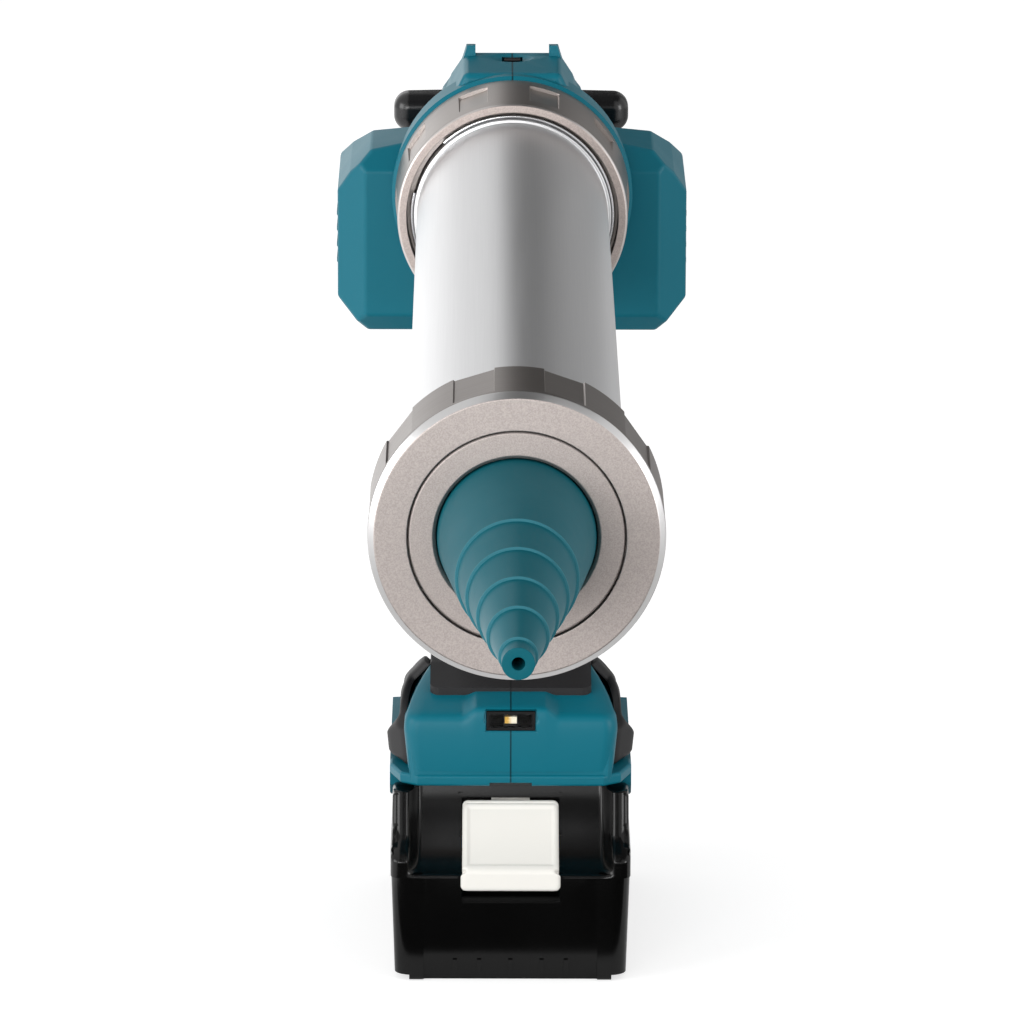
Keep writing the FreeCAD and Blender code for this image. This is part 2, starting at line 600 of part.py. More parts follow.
piston_front = nozzle_flange_back + d.piston_lead
piston_back = piston_front + d.piston_length
rod_front = piston_front + d.piston_face
rod_floor = d.axis_height - d.rod_height / 2
rack_pitch = d.rack_module * math.pi


def make_rod():
    """Bar with straight rack teeth below; one gap lies over the pinion at rest."""
    root = d.rack_addendum * 2 + d.tooth_gap
    lean = math.tan(PRESSURE_ANGLE)
    half_gap = rack_pitch / 4 + d.tooth_slack / 2
    mouth = half_gap + d.rack_addendum * lean
    bottom = half_gap - (root - d.rack_addendum) * lean
    floor = [(rod_front, rod_floor)]
    for k in range(int(d.rack_teeth) - 1, -1, -1):
        middle = d.pinion_place + rack_pitch * 2 - rack_pitch * k
        floor += [(middle - mouth, rod_floor), (middle - bottom, rod_floor + root)]
        floor += [(middle + bottom, rod_floor + root), (middle + mouth, rod_floor)]
    top = rod_floor + d.rod_height
    outline = floor + [(d.rod_back, rod_floor), (d.rod_back, top), (rod_front, top)]
    points = [Vector(-d.rod_width / 2, y, z) for y, z in outline]
    face = Part.Face(Part.makePolygon(points + points[:1]))
    rod = doc.addObject("Part::Feature", "toothed_rod")
    rod.Shape = face.extrude(Vector(d.rod_width, 0, 0))
    return rod


def make_piston():
    """Cup that pushes the pack: front face, skirt and a boss with the rod's socket."""
    rim = tube_bore - d.piston_gap
    face_back = piston_front + d.piston_face
    profile = [
        (piston_front, d.screw_radius + d.seat_gap), (piston_front, rim - d.piston_edge),
        (piston_front + d.piston_edge, rim), (piston_back, rim), (piston_back, rim - d.piston_skirt),
        (face_back, rim - d.piston_skirt), (face_back, d.piston_boss_radius),
        (piston_back, d.piston_boss_radius), (piston_back, d.screw_radius + d.seat_gap),
    ]
    cup = turned("piston_cup", profile, z=d.axis_height)
    half_width = d.rod_width / 2 + d.seat_gap
    half_height = d.rod_height / 2 + d.seat_gap
    socket = box("piston_socket", (-half_width, rod_front, d.axis_height - half_height),
                 (half_width, piston_back + d.overrun, d.axis_height + half_height))
    sink_depth = d.screw_head + d.face_gap
    sink = rod_along("piston_sink", d.screw_head_radius + d.face_gap, sink_depth + d.overrun,
                     (0.0, piston_front - d.overrun, d.axis_height), "Y")
    keep("piston", cut("piston", cup, socket, sink))
    head_back = piston_front + sink_depth
    socket_floor = head_back - d.screw_head + d.screw_socket
    screw = [
        (head_back - d.screw_head, d.screw_socket), (head_back - d.screw_head, d.screw_head_radius),
        (head_back, d.screw_head_radius), (head_back, d.screw_radius),
        (head_back + d.screw_length, d.screw_radius), (head_back + d.screw_length, d.rod_width * 0),
        (socket_floor, d.rod_width * 0), (socket_floor, d.screw_socket),
    ]
    keep("piston_screw", turned("piston_screw", screw, z=d.axis_height))
    hole = rod_along("rod_screw_hole", d.screw_radius + d.seat_gap, d.screw_length,
                     (0.0, rod_front - d.overrun, d.axis_height), "Y")
    bind(hole, "Height", head_back + d.screw_length + d.face_gap - rod_front + d.overrun)
    return hole


def make_handle(rod, screw_hole):
    """Cross bar on a round stem, pinned across the rod's end."""
    back = d.handle_front + d.handle_depth
    half_height = d.handle_height / 2
    outline = mirrored_outline([
        (d.handle_half_width, d.handle_front), (d.handle_half_width, back - d.handle_waist),
        (d.handle_half_width / 2, back), (d.handle_stem_radius, back),
    ])
    bar = prism("handle_bar", "XY_Plane", outline, d.handle_height, d.axis_height - half_height)
    smooth = rounded("handle_smooth", bar, d.handle_round)
    stem = rod_along("handle_stem", d.handle_stem_radius, d.handle_stem + d.handle_depth / 2,
                     (0.0, d.handle_front - d.handle_stem, d.axis_height), "Y")
    half_width = d.rod_width / 2 + d.seat_gap
    rod_half = d.rod_height / 2 + d.seat_gap
    socket = box("handle_socket", (-half_width, d.handle_front - d.overrun, d.axis_height - rod_half),
                 (half_width, d.rod_back + d.face_gap, d.axis_height + rod_half))
    pin_place = (d.handle_front + d.rod_back) / 2
    pin_floor = d.axis_height - half_height + d.face_gap
    pin_length = d.handle_height - d.face_gap * 2
    pin_hole = rod_along("handle_pin_hole", d.handle_pin_radius + d.seat_gap, pin_length + d.overrun * 2,
                         (0.0, pin_place, pin_floor - d.overrun), "Z")
    keep("pull_handle", cut("pull_handle", fuse("handle_blank", smooth, stem), socket, pin_hole))
    keep("handle_pin", rod_along("handle_pin", d.handle_pin_radius, pin_length,
                                 (0.0, pin_place, pin_floor), "Z"))
    keep("drive_rod", cut("drive_rod", rod, screw_hole, pin_hole))


make_handle(make_rod(), make_piston())

# Gear train: pinion under the rod, spur pair, gearbox and motor across the tool

frame_front = d.trunk_front + d.wall + d.face_gap


def gear_shape(teeth, module, addendum, dedendum, turn, width):
    """Spur gear with involute flanks; a tooth points along the turn angle, measured from +Y towards +Z."""
    pitch = module * teeth / 2
    base = pitch * math.cos(PRESSURE_ANGLE)
    tip = pitch + addendum
    root = pitch - dedendum
    start = max(base, root)
    half_at_pitch = math.pi / (2 * teeth) - d.tooth_slack / (2 * pitch)

    def half_angle(radius):
        lean = math.acos(min(1.0, base / radius))
        return half_at_pitch + math.tan(PRESSURE_ANGLE) - PRESSURE_ANGLE - math.tan(lean) + lean

    def point(radius, angle):
        return Vector(0, radius * math.cos(angle), radius * math.sin(angle))

    edges = []
    last = None
    for k in range(int(teeth) + 1):
        middle = turn + math.tau * k / teeth
        low = point(root, middle - half_angle(start))
        if last is not None:
            edges.append(Part.LineSegment(last, low).toShape())
        if k == int(teeth):
            break
        for side in (-1, 1):
            flank = [point(r, middle + side * half_angle(r)) for r in (start, (start + tip) / 2, tip)]
            foot = point(root, middle + side * half_angle(start))
            sides = [Part.Arc(*flank).toShape()]
            if start > root:
                sides.insert(0, Part.LineSegment(foot, flank[0]).toShape())
            if side < 0:
                edges += sides
                crest = [flank[2], point(tip, middle), point(tip, middle + half_angle(tip))]
                edges.append(Part.Arc(*crest).toShape())
            else:
                edges += sides[::-1]
                last = foot
    wire = Part.Wire(Part.__sortEdges__(edges))
    return Part.Face(wire).extrude(Vector(width, 0, 0))


def gear(name, shape, bore_radius, width, x, y, z):
    """A gear on its shaft's place, bored for the shaft."""
    blank = doc.addObject("Part::Feature", f"{name}_blank")
    blank.Shape = shape
    place(blank, x, y, z)
    bore = rod_along(f"{name}_bore", bore_radius + d.seat_gap, width + d.overrun * 2,
                     (x - d.overrun, y, z), "X")
    return keep(name, cut(name, blank, bore))


def make_gears():
    rack_root = d.rack_addendum + d.tooth_gap
    up = math.pi / 2
    pinion = gear_shape(d.pinion_teeth, d.rack_module, d.rack_addendum, rack_root, up, d.pinion_width)
    gear("rack_pinion", pinion, d.shaft_radius, d.pinion_width, -d.pinion_width / 2, d.pinion_place,
         pinion_height)
    spur_root = d.spur_module + d.tooth_gap
    spur = gear_shape(d.spur_teeth, d.spur_module, d.spur_module, spur_root, -motor_lean, d.spur_width)
    gear("spur_gear", spur, d.shaft_radius, d.spur_width, d.spur_start, d.pinion_place, pinion_height)
    half_pitch = math.pi / d.output_teeth
    mate = math.pi - motor_lean + half_pitch
    output = gear_shape(d.output_teeth, d.spur_module, d.spur_module, spur_root, mate, d.spur_width)
    gear("output_pinion", output, d.output_shaft_radius, d.spur_width, d.spur_start, motor_place,
         motor_height)


def make_shafts():
    start = -d.frame_width / 2
    keep("pinion_shaft", rod_along("pinion_shaft", d.shaft_radius, cover_end - start,
                                   (start, d.pinion_place, pinion_height), "X"))
    inset = d.gearbox_length / 4
    keep("output_shaft", rod_along("output_shaft", d.output_shaft_radius, cover_end - gearbox_end + inset,
                                   (gearbox_end - inset, motor_place, motor_height), "X"))


def make_bearing(name, start):
    """Ball bearing with its races standing proud of the shields."""
    end = start + d.bearing_width
    inner = d.shaft_radius + d.shaft_gap
    profile = [
        (start, inner), (start, inner + d.race_width), (start + d.race_step, inner + d.race_width),
        (start + d.race_step, d.bearing_radius - d.race_width), (start, d.bearing_radius - d.race_width),
        (start, d.bearing_radius), (end, d.bearing_radius), (end, d.bearing_radius - d.race_width),
        (end - d.race_step, d.bearing_radius - d.race_width), (end - d.race_step, inner + d.race_width),
        (end, inner + d.race_width), (end, inner),
    ]
    keep(name, turned(name, profile, y=d.pinion_place, z=pinion_height, along="X"))


def make_gearbox():
    """Sealed planetary unit: ribbed case with the output shaft's hole."""
    bore = d.output_shaft_radius + d.shaft_gap
    inset = gearbox_end - d.gearbox_length / 4
    low = d.motor_radius - d.gearbox_rib_depth
    profile = [(gearbox_start, 0.0), (gearbox_start, d.motor_radius)]
    ribs = int(d.gearbox_length / (d.gearbox_rib * 2))
    for k in range(ribs):
        groove = gearbox_start + d.gearbox_rib * (2 * k + 1)
        profile += [(groove, d.motor_radius), (groove, low)]
        profile += [(groove + d.gearbox_rib, low), (groove + d.gearbox_rib, d.motor_radius)]
    if profile[-1][0] < gearbox_end:
        profile += [(gearbox_end, d.motor_radius)]
    profile += [(gearbox_end, bore), (inset, bore), (inset, 0.0)]
    keep("gearbox_case", turned("gearbox_case", profile, y=motor_place, z=motor_height, along="X"))


def make_motor():
    """Motor can with its neck, bored right through for the rotor's shaft."""
    end = gearbox_start
    start = d.motor_start
    bore = d.rotor_shaft_radius + d.shaft_gap
    back = start - d.motor_neck
    profile = [
        (back, bore), (back, d.motor_neck_radius), (start, d.motor_neck_radius),
        (start, d.motor_radius - d.motor_edge), (start + d.motor_edge, d.motor_radius),
        (end, d.motor_radius), (end, d.motor_radius - d.motor_edge * 3), (end - d.motor_edge, bore),
    ]
    keep("motor_can", turned("motor_can", profile, y=motor_place, z=motor_height, along="X"))


make_gears()
make_shafts()
make_bearing("bearing_left", -d.frame_width / 2)
make_bearing("bearing_right", d.cover_start)
make_gearbox()
make_motor()


def make_rotor():
    """Rotor shaft with the cooling fan on its free end."""
    hub_start = d.motor_start - d.motor_neck - d.motor_edge / 2
    body = new_body("motor_rotor", 0.0, motor_place, motor_height)
    shaft = new_sketch(body, "YZ_Plane", hub_start - d.fan_width)
    draw_circle(shaft, 0.0, 0.0, d.rotor_shaft_radius)
    add_pad(body, shaft, gearbox_start - d.motor_edge * 2 - hub_start + d.fan_width)
    hub = new_sketch(body, "YZ_Plane", hub_start)
    draw_circle(hub, 0.0, 0.0, d.fan_hub_radius)
    add_pad(body, hub, d.fan_width, back=True)
    disc = new_sketch(body, "YZ_Plane", hub_start)
    draw_circle(disc, 0.0, 0.0, d.fan_radius)
    add_pad(body, disc, d.fan_disc, back=True)
    blade = new_sketch(body, "YZ_Plane", hub_start)
    inner = d.fan_hub_radius - d.fan_blade
    half = d.fan_blade / 2
    outer = d.fan_radius - d.fan_blade
    draw_outline(blade, [(inner, -half), (outer, -half), (outer, half), (inner, half)])
    vane = add_pad(body, blade, d.fan_width, back=True)
    add_polar(body, vane, blade, d.fan_blades)
    keep("motor_rotor", body)


def make_frame():
    """Cast frame: nose for the barrel nut, block round the pinion, top beam and tail with the rear bush."""
    half = d.frame_width / 2
    tail = d.frame_back - d.tail_length
    body = new_body("frame_blank")
    side = new_sketch(body, "YZ_Plane")
    draw_outline(side, [
        (frame_front, d.block_floor), (d.block_back, d.block_floor), (d.block_back, d.beam_floor),
        (tail, d.beam_floor), (tail, d.tail_floor), (d.frame_back, d.tail_floor),
        (d.frame_back, d.frame_top), (frame_front, d.frame_top),
    ])
    add_pad(body, side, d.frame_width, middle=True)
    gear_room = new_sketch(body, "YZ_Plane")
    draw_circle(gear_room, d.pinion_place, pinion_height, pinion_radius + d.rack_addendum + d.run_gap * 2)
    add_pocket(body, gear_room, d.pinion_width + d.run_gap * 4, middle=True)
    shaft_room = new_sketch(body, "YZ_Plane")
    draw_circle(shaft_room, d.pinion_place, pinion_height, d.shaft_radius + d.run_gap)
    add_pocket(body, shaft_room, d.frame_width * 2, middle=True)
    seat = new_sketch(body, "YZ_Plane", -half)
    draw_circle(seat, d.pinion_place, pinion_height, d.bearing_radius + d.seat_gap)
    add_pocket(body, seat, d.bearing_width, back=True)
    saddle = new_sketch(body, "YZ_Plane")
    draw_circle(saddle, motor_place, motor_height, d.motor_radius + d.face_gap)
    add_pocket(body, saddle, d.frame_width * 2, middle=True)
    nose_back = nose_front + d.nose_depth
    profile = [
        (nose_front, d.nose_bore_radius), (nose_front, d.nose_radius), (nut_back, d.nose_radius),
        (nut_back, d.nose_neck_radius), (frame_front, d.nose_neck_radius), (frame_front, 0.0),
        (nose_back, 0.0), (nose_back, d.nose_bore_radius),
    ]
    nose = turned("frame_nose", profile, z=d.axis_height)
    blank = fuse("frame_casting", body, nose)
    rod_half = d.rod_width / 2 + d.run_gap * 2
    rod_rise = d.rod_height / 2 + d.run_gap * 2
    channel = box("frame_channel", (-rod_half, nose_front - d.overrun, d.axis_height - rod_rise),
                  (rod_half, d.frame_back + d.overrun, d.axis_height + rod_rise))
    front_seat = rod_along("frame_front_seat", d.bush_radius + d.seat_gap, d.bush_length + d.overrun,
                           (0.0, nose_back - d.overrun, d.axis_height), "Y")
    rear_seat = rod_along("frame_rear_seat", d.bush_radius + d.seat_gap, d.bush_length + d.overrun,
                          (0.0, d.frame_back - d.bush_length, d.axis_height), "Y")
    keep("gear_frame", cut("gear_frame", blank, channel, front_seat, rear_seat))
    return nose_back


def make_bush(name, start, flange_start):
    """Round bush with a square hole that guides the rod, and a flange on its outer end."""
    barrel = rod_along(f"{name}_barrel", d.bush_radius, d.bush_length, (0.0, start, d.axis_height), "Y")
    flange = rod_along(f"{name}_flange", d.bush_flange_radius, d.bush_flange,
                       (0.0, flange_start, d.axis_height), "Y")
    half = d.rod_width / 2 + d.shaft_gap * 2
    rise = d.rod_height / 2 + d.shaft_gap * 2
    hole = box(f"{name}_hole", (-half, start - d.overrun, d.axis_height - rise),
               (half, start + d.bush_length + d.overrun, d.axis_height + rise))
    keep(name, cut(name, fuse(f"{name}_blank", barrel, flange), hole))


def make_gear_cover():
    """Plate that carries the outer bearing, on posts that stand on the frame."""
    posts = []
    for angle in COVER_POST_ANGLES:
        posts.append((d.pinion_place + cover_reach * math.cos(angle),
                      pinion_height + cover_reach * math.sin(angle)))
    boss_radius = d.cover_post_radius + d.cover_boss
    discs = [rod_along(f"cover_boss_{i}", boss_radius, d.bearing_width, (d.cover_start, y, z), "X")
             for i, (y, z) in enumerate(posts)]
    hub = rod_along("cover_hub", cover_reach, d.bearing_width,
                    (d.cover_start, d.pinion_place, pinion_height), "X")
    arm = rod_along("cover_arm", d.output_shaft_radius + d.cover_margin, d.bearing_width,
                    (d.cover_start, motor_place, motor_height), "X")
    columns = [rod_along(f"cover_post_{i}", d.cover_post_radius, cover_end - d.frame_width / 2,
                         (d.frame_width / 2, y, z), "X") for i, (y, z) in enumerate(posts)]
    blank = fuse("cover_blank", hub, arm, *discs, *columns)
    over = d.bearing_width + d.overrun * 2
    seat = rod_along("cover_seat", d.bearing_radius + d.seat_gap, over,
                     (d.cover_start - d.overrun, d.pinion_place, pinion_height), "X")
    hole = rod_along("cover_hole", d.output_shaft_radius + d.shaft_gap, over,
                     (d.cover_start - d.overrun, motor_place, motor_height), "X")
    keep("gear_cover", cut("gear_cover", blank, seat, hole))


COVER_POST_ANGLES = [math.radians(angle) for angle in (36.0, 140.0, 243.0)]
make_rotor()
bush_seat = make_frame()
make_bush("rod_bush_front", bush_seat, bush_seat - d.bush_flange)
make_bush("rod_bush_rear", d.frame_back - d.bush_length, d.frame_back)
make_gear_cover()

# Housing: two shells round one hollow form


def wing_form(name, inset):
    """Motor housing across the tool: a many-sided front outline with its edges cut back all round."""
    corner = inset * CORNER_SHARE
    front = d.wing_front + inset
    back = d.wing_back - inset
    top = d.wing_top - inset
    floor = d.wing_floor + inset
    side = d.wing_half_width - inset
    facing = mirrored_outline([
        (d.wing_crown_half, top), (d.wing_top_half - corner, top - d.wing_fall),
        (d.wing_shoulder_half - inset, d.wing_top - d.wing_shoulder_drop - corner),
        (side, d.wing_top - d.wing_side_drop - corner), (side, d.wing_hip + corner),
        (d.wing_floor_half - corner, floor),
    ])
    brow = d.wing_brow - corner
    brow_back = front + d.wing_brow_depth - corner
    chin = d.wing_chin - corner
    profile = [
        (brow_back, top), (d.wing_front + d.wing_ridge, top), (back, top - d.wing_tail_drop),
        (back, floor + chin * 2), (back - chin * 2, floor), (front + chin, floor), (front, floor + chin),
        (front, top - brow),
    ]
    cheek = d.wing_cheek - corner
    face_half = d.wing_face_half - corner
    plan = mirrored_outline([
        (face_half, front), (side, front + cheek), (side, back - cheek), (face_half, back),
    ])
    depth = d.wing_back - d.wing_front + d.overrun * 2
    width = d.wing_half_width * 2 + d.overrun * 2
    across = prism(f"{name}_facing", "XZ_Plane", facing, depth, -(d.wing_back + d.overrun))
    along = prism(f"{name}_profile", "YZ_Plane", profile, width, middle=True)
    down = prism(f"{name}_plan", "XY_Plane", plan, d.wing_top - d.wing_floor + d.overrun * 2,
                 d.wing_floor - d.overrun)
    return common(name, across, along, down)


def trunk_form(name, inset):
    """Body round the rod: a tapering tower in front view, its roof and heel falling to a narrow tail."""
    corner = inset * CORNER_SHARE
    top = d.trunk_top - inset
    floor = d.trunk_floor + inset
    side = d.trunk_half_width - inset
    facing = mirrored_outline([
        (d.trunk_top_half - corner, top), (d.trunk_eave_half - inset, d.trunk_eave - corner),
        (side, d.trunk_side - corner), (side, d.wing_hip), (d.trunk_floor_half - inset, floor),
    ])
    front = d.trunk_front + inset
    back = d.trunk_back - inset
    profile = [
        (front, floor), (front, top), (d.trunk_crown, top),
        (d.trunk_crown + d.roof_lead, d.trunk_tail_top + d.roof_rise - inset),
        (back, d.trunk_tail_top - inset),
        (back, d.trunk_tail_floor + inset), (d.trunk_heel - inset, floor),
    ]
    plan = mirrored_outline([(side, front), (side, d.trunk_crown), (d.trunk_tail_half - inset, back)])
    depth = d.trunk_back - d.trunk_front + d.overrun * 2
    across = prism(f"{name}_facing", "XZ_Plane", facing, depth, -(d.trunk_back + d.overrun))
    width = d.trunk_half_width * 2 + d.overrun * 2
    along = prism(f"{name}_profile", "YZ_Plane", profile, width, middle=True)
    down = prism(f"{name}_plan", "XY_Plane", plan, d.trunk_top - d.trunk_floor + d.overrun * 2,
                 d.trunk_floor - d.overrun)
    return common(name, across, along, down)


def grip_form(name, swell, foot, top):
    """Grip: a loft through ellipses, wider or narrower than the handle by the swell."""
    rise = d.grip_top - d.grip_foot
    sections = []
    for i, (height_share, place_share, depth_share, width_share) in enumerate(GRIP_SECTION_SHARES):
        ring = doc.addObject("Part::Ellipse", f"{name}_ring_{i}")
        bind(ring, "MajorRadius", d.grip_depth * depth_share + swell)
        bind(ring, "MinorRadius", d.grip_half_width * width_share + swell)
        quarter = Rotation(Vector(0, 0, 1), HALF_TURN / 2)
        place(ring, 0.0, d.grip_place * place_share, d.grip_foot + rise * height_share, quarter)
        sections.append(ring)
    loft = doc.addObject("Part::Loft", f"{name}_loft")
    loft.Sections = sections
    loft.Solid = True
    reach = d.grip_depth * 3
    slab = box(f"{name}_slab", (-reach, -reach, foot), (reach, reach, top))
    return common(name, loft, slab)


def base_form(name, inset):
    """Foot that the battery slides on: upright nose with a shelf above it, its top falling to the back."""
    corner = inset * CORNER_SHARE
    floor = d.base_floor + inset
    top = d.base_top - inset
    side = d.base_half_width - inset
    front = d.base_front + inset
    back = d.base_back - inset
    foot = d.base_foot_half - inset
    facing = mirrored_outline([
        (d.base_top_half - corner, top), (side, d.base_shoulder - corner), (foot, floor),
    ])
    profile = [
        (front, floor), (front, d.nose_edge - d.base_round - corner),
        (front + d.base_round, d.nose_edge - inset), (d.grip_place - d.grip_depth, top),
        (d.grip_place - d.grip_depth / 2, top),
        (back, top - d.base_fall), (back, floor),
    ]
    depth = d.base_back - d.base_front + d.overrun * 2
    across = prism(f"{name}_facing", "XZ_Plane", facing, depth, -(d.base_back + d.overrun))
    width = d.base_half_width * 2 + d.overrun * 2
    along = prism(f"{name}_profile", "YZ_Plane", profile, width, middle=True)
    return common(name, across, along)


def ridge_form():
    """Raised middle of the nose that holds the lamp."""
    profile = [
        (d.base_front + d.face_gap, d.nose_foot), (d.base_front + d.face_gap, d.ridge_top),
        (d.ridge_back, d.ridge_top + d.ridge_slope), (d.ridge_back, d.nose_foot),
    ]
    block = prism("ridge_block", "YZ_Plane", profile, d.ridge_half * 2, middle=True)
    return rounded("ridge", block, d.base_round / 2, runs_along(Vector(0, 0, 1)))


def lip_form():
    """Flange round the nose's lower edge, swept back into the skirts."""
    front = d.base_front - d.lip_proud
    plan = mirrored_outline([
        (d.lip_half, front), (d.lip_cheek, front + d.lip_sweep), (d.skirt_outer, d.skirt_front),
        (d.skirt_outer, d.skirt_front + d.lip_tail),
    ])
    plate = prism("lip_plate", "XY_Plane", plan, d.lip_height, d.base_floor)
    return rounded("lip", plate, d.lip_round)


def skirt_form(side):
    """Side skirt that hangs beside the battery, with the rail that the battery's groove takes."""
    tip = d.skirt_tip
    swept = d.skirt_front + d.skirt_sweep
    profile = [
        (d.skirt_front, d.base_floor + d.wall), (d.skirt_front, d.base_floor - tip / 2),
        (d.skirt_front + tip / 2, d.base_floor - tip), (swept, d.skirt_floor),
        (d.skirt_back - tip, d.skirt_floor), (d.skirt_back, d.skirt_floor + tip),
        (d.skirt_back, d.base_floor + d.wall),
    ]
    start = d.skirt_inner if side > 0 else -d.skirt_outer
    plate = prism(f"skirt_plate_{side}", "YZ_Plane", profile, d.skirt_thick, start)
    inner = d.skirt_inner - d.rail_reach
    low = inner if side > 0 else -d.skirt_inner - d.face_gap
    high = d.skirt_inner + d.face_gap if side > 0 else -inner
    rail = box(f"skirt_rail_{side}", (low, swept, d.rail_floor),
               (high, d.skirt_back - tip, d.rail_floor + d.rail_height))
    return fuse(f"skirt_{side}", plate, rail)


def horn_form(side):
    """Guard behind the dial, leaning in with the tower's side and falling to the back."""
    top = d.trunk_top + d.horn_rise
    root = d.trunk_eave
    outer = d.horn_outer
    corners = [(d.horn_inner, root), (outer + d.horn_lean * 3, root), (outer, d.trunk_top),
               (outer - d.horn_lean, top), (d.horn_inner, top)]
    outline = [(x * side, z) for x, z in corners]
    front = d.trunk_crown - d.horn_front
    back = d.trunk_crown + d.horn_back
    profile = [(front, root), (front + d.horn_lean, top), (back - d.horn_lean, top - d.horn_lean),
               (back + d.horn_lean, root)]
    across = prism(f"horn_facing_{side}", "XZ_Plane", outline, d.trunk_length, -d.trunk_back)
    along = prism(f"horn_profile_{side}", "YZ_Plane", profile, d.trunk_half_width * 2, middle=True)
    return common(f"horn_{side}", across, along)


def vent_slots(side):
    """Row of slots through the wing's side wall."""
    slots = []
    inner = d.wing_half_width - d.wall * 2
    for k in range(int(d.vent_count)):
        z = d.vent_height + d.vent_pitch * (k - (d.vent_count - 1) / 2)
        low = inner if side > 0 else -d.wing_half_width - d.overrun
        high = d.wing_half_width + d.overrun if side > 0 else -inner
        slots.append(box(f"vent_{side}_{k}", (low, d.vent_place, z - d.vent_width / 2),
                         (high, d.vent_place + d.vent_length, z + d.vent_width / 2)))
    return slots


def vent_louvres(side):
    """Ribs between the slots, standing a little proud of the wing's side."""
    ribs = []
    inner = d.wing_half_width - d.wall / 2
    outer = d.wing_half_width + d.louvre_proud
    for k in range(int(d.vent_count) - 1):
        z = d.vent_height + d.vent_pitch * (k - (d.vent_count - 2) / 2)
        low = inner if side > 0 else -outer
        high = outer if side > 0 else -inner
        ribs.append(box(f"louvre_{side}_{k}", (low, d.vent_place, z - d.louvre_width / 2),
                        (high, d.vent_place + d.vent_length, z + d.louvre_width / 2)))
    return ribs


def case_screw_places():
    """Where the shells are screwed together: place along Y, height, and how far out the head lies."""
    grip_back = d.grip_place + d.grip_depth / 3
    side = d.base_half_width - d.wall
    return [
        (d.trunk_crown + d.wall * 9 / 2, d.frame_top + d.case_post_radius + d.run_gap, d.trunk_eave_half),
        (d.trunk_back - d.wall * 8, d.trunk_tail_floor - d.wall * 2, d.frame_width / 2 + d.wall * 2),
        (grip_back, d.trigger_floor - d.wall * 2, d.grip_half_width - d.wall),
        (d.base_back - d.wall * 3, d.base_floor + d.wall / 2 + d.case_post_radius, side),
        (d.base_front + d.case_post_radius + d.case_post_margin, d.nose_foot + d.case_post_radius, side),
    ]


def make_case_screws():
    """Screws across the shells: makes them, and returns the bars of their posts and the holes."""
    bars = []
    holes = []
    screws = []
    reach = d.wing_half_width
    bite = d.case_screw_bite
    for i, (y, z, face) in enumerate(case_screw_places()):
        seat = face - d.case_screw_head
        bars.append(rod_along(f"case_bar_{i}", d.case_post_radius, reach * 2, (-reach, y, z), "X"))
        depth = seat + bite + d.face_gap
        holes.append(rod_along(f"case_hole_{i}", d.case_screw_radius + d.seat_gap, depth + d.face_gap,
                               (-bite - d.face_gap, y, z), "X"))
        holes.append(rod_along(f"case_sink_{i}", d.case_head_radius + d.face_gap, reach, (seat, y, z), "X"))
        head = rod_along(f"case_head_{i}", d.case_head_radius, d.case_screw_head, (seat, y, z), "X")
        stem = rod_along(f"case_stem_{i}", d.case_screw_radius, depth, (-bite, y, z), "X")
        socket = rod_along(f"case_socket_{i}", d.case_screw_radius, d.case_screw_head,
                           (face - d.case_screw_head / 2, y, z), "X")
        screws.append(cut(f"case_screw_{i}", fuse(f"case_blank_{i}", head, stem), socket))
    keep("housing_screws", fuse("housing_screws", *screws))
    shelf = box("switch_shelf", (-d.grip_half_width, d.switch_front, d.trigger_floor - d.wall),
                (d.grip_half_width, d.switch_back, d.trigger_floor))
    return [shelf] + bars, holes


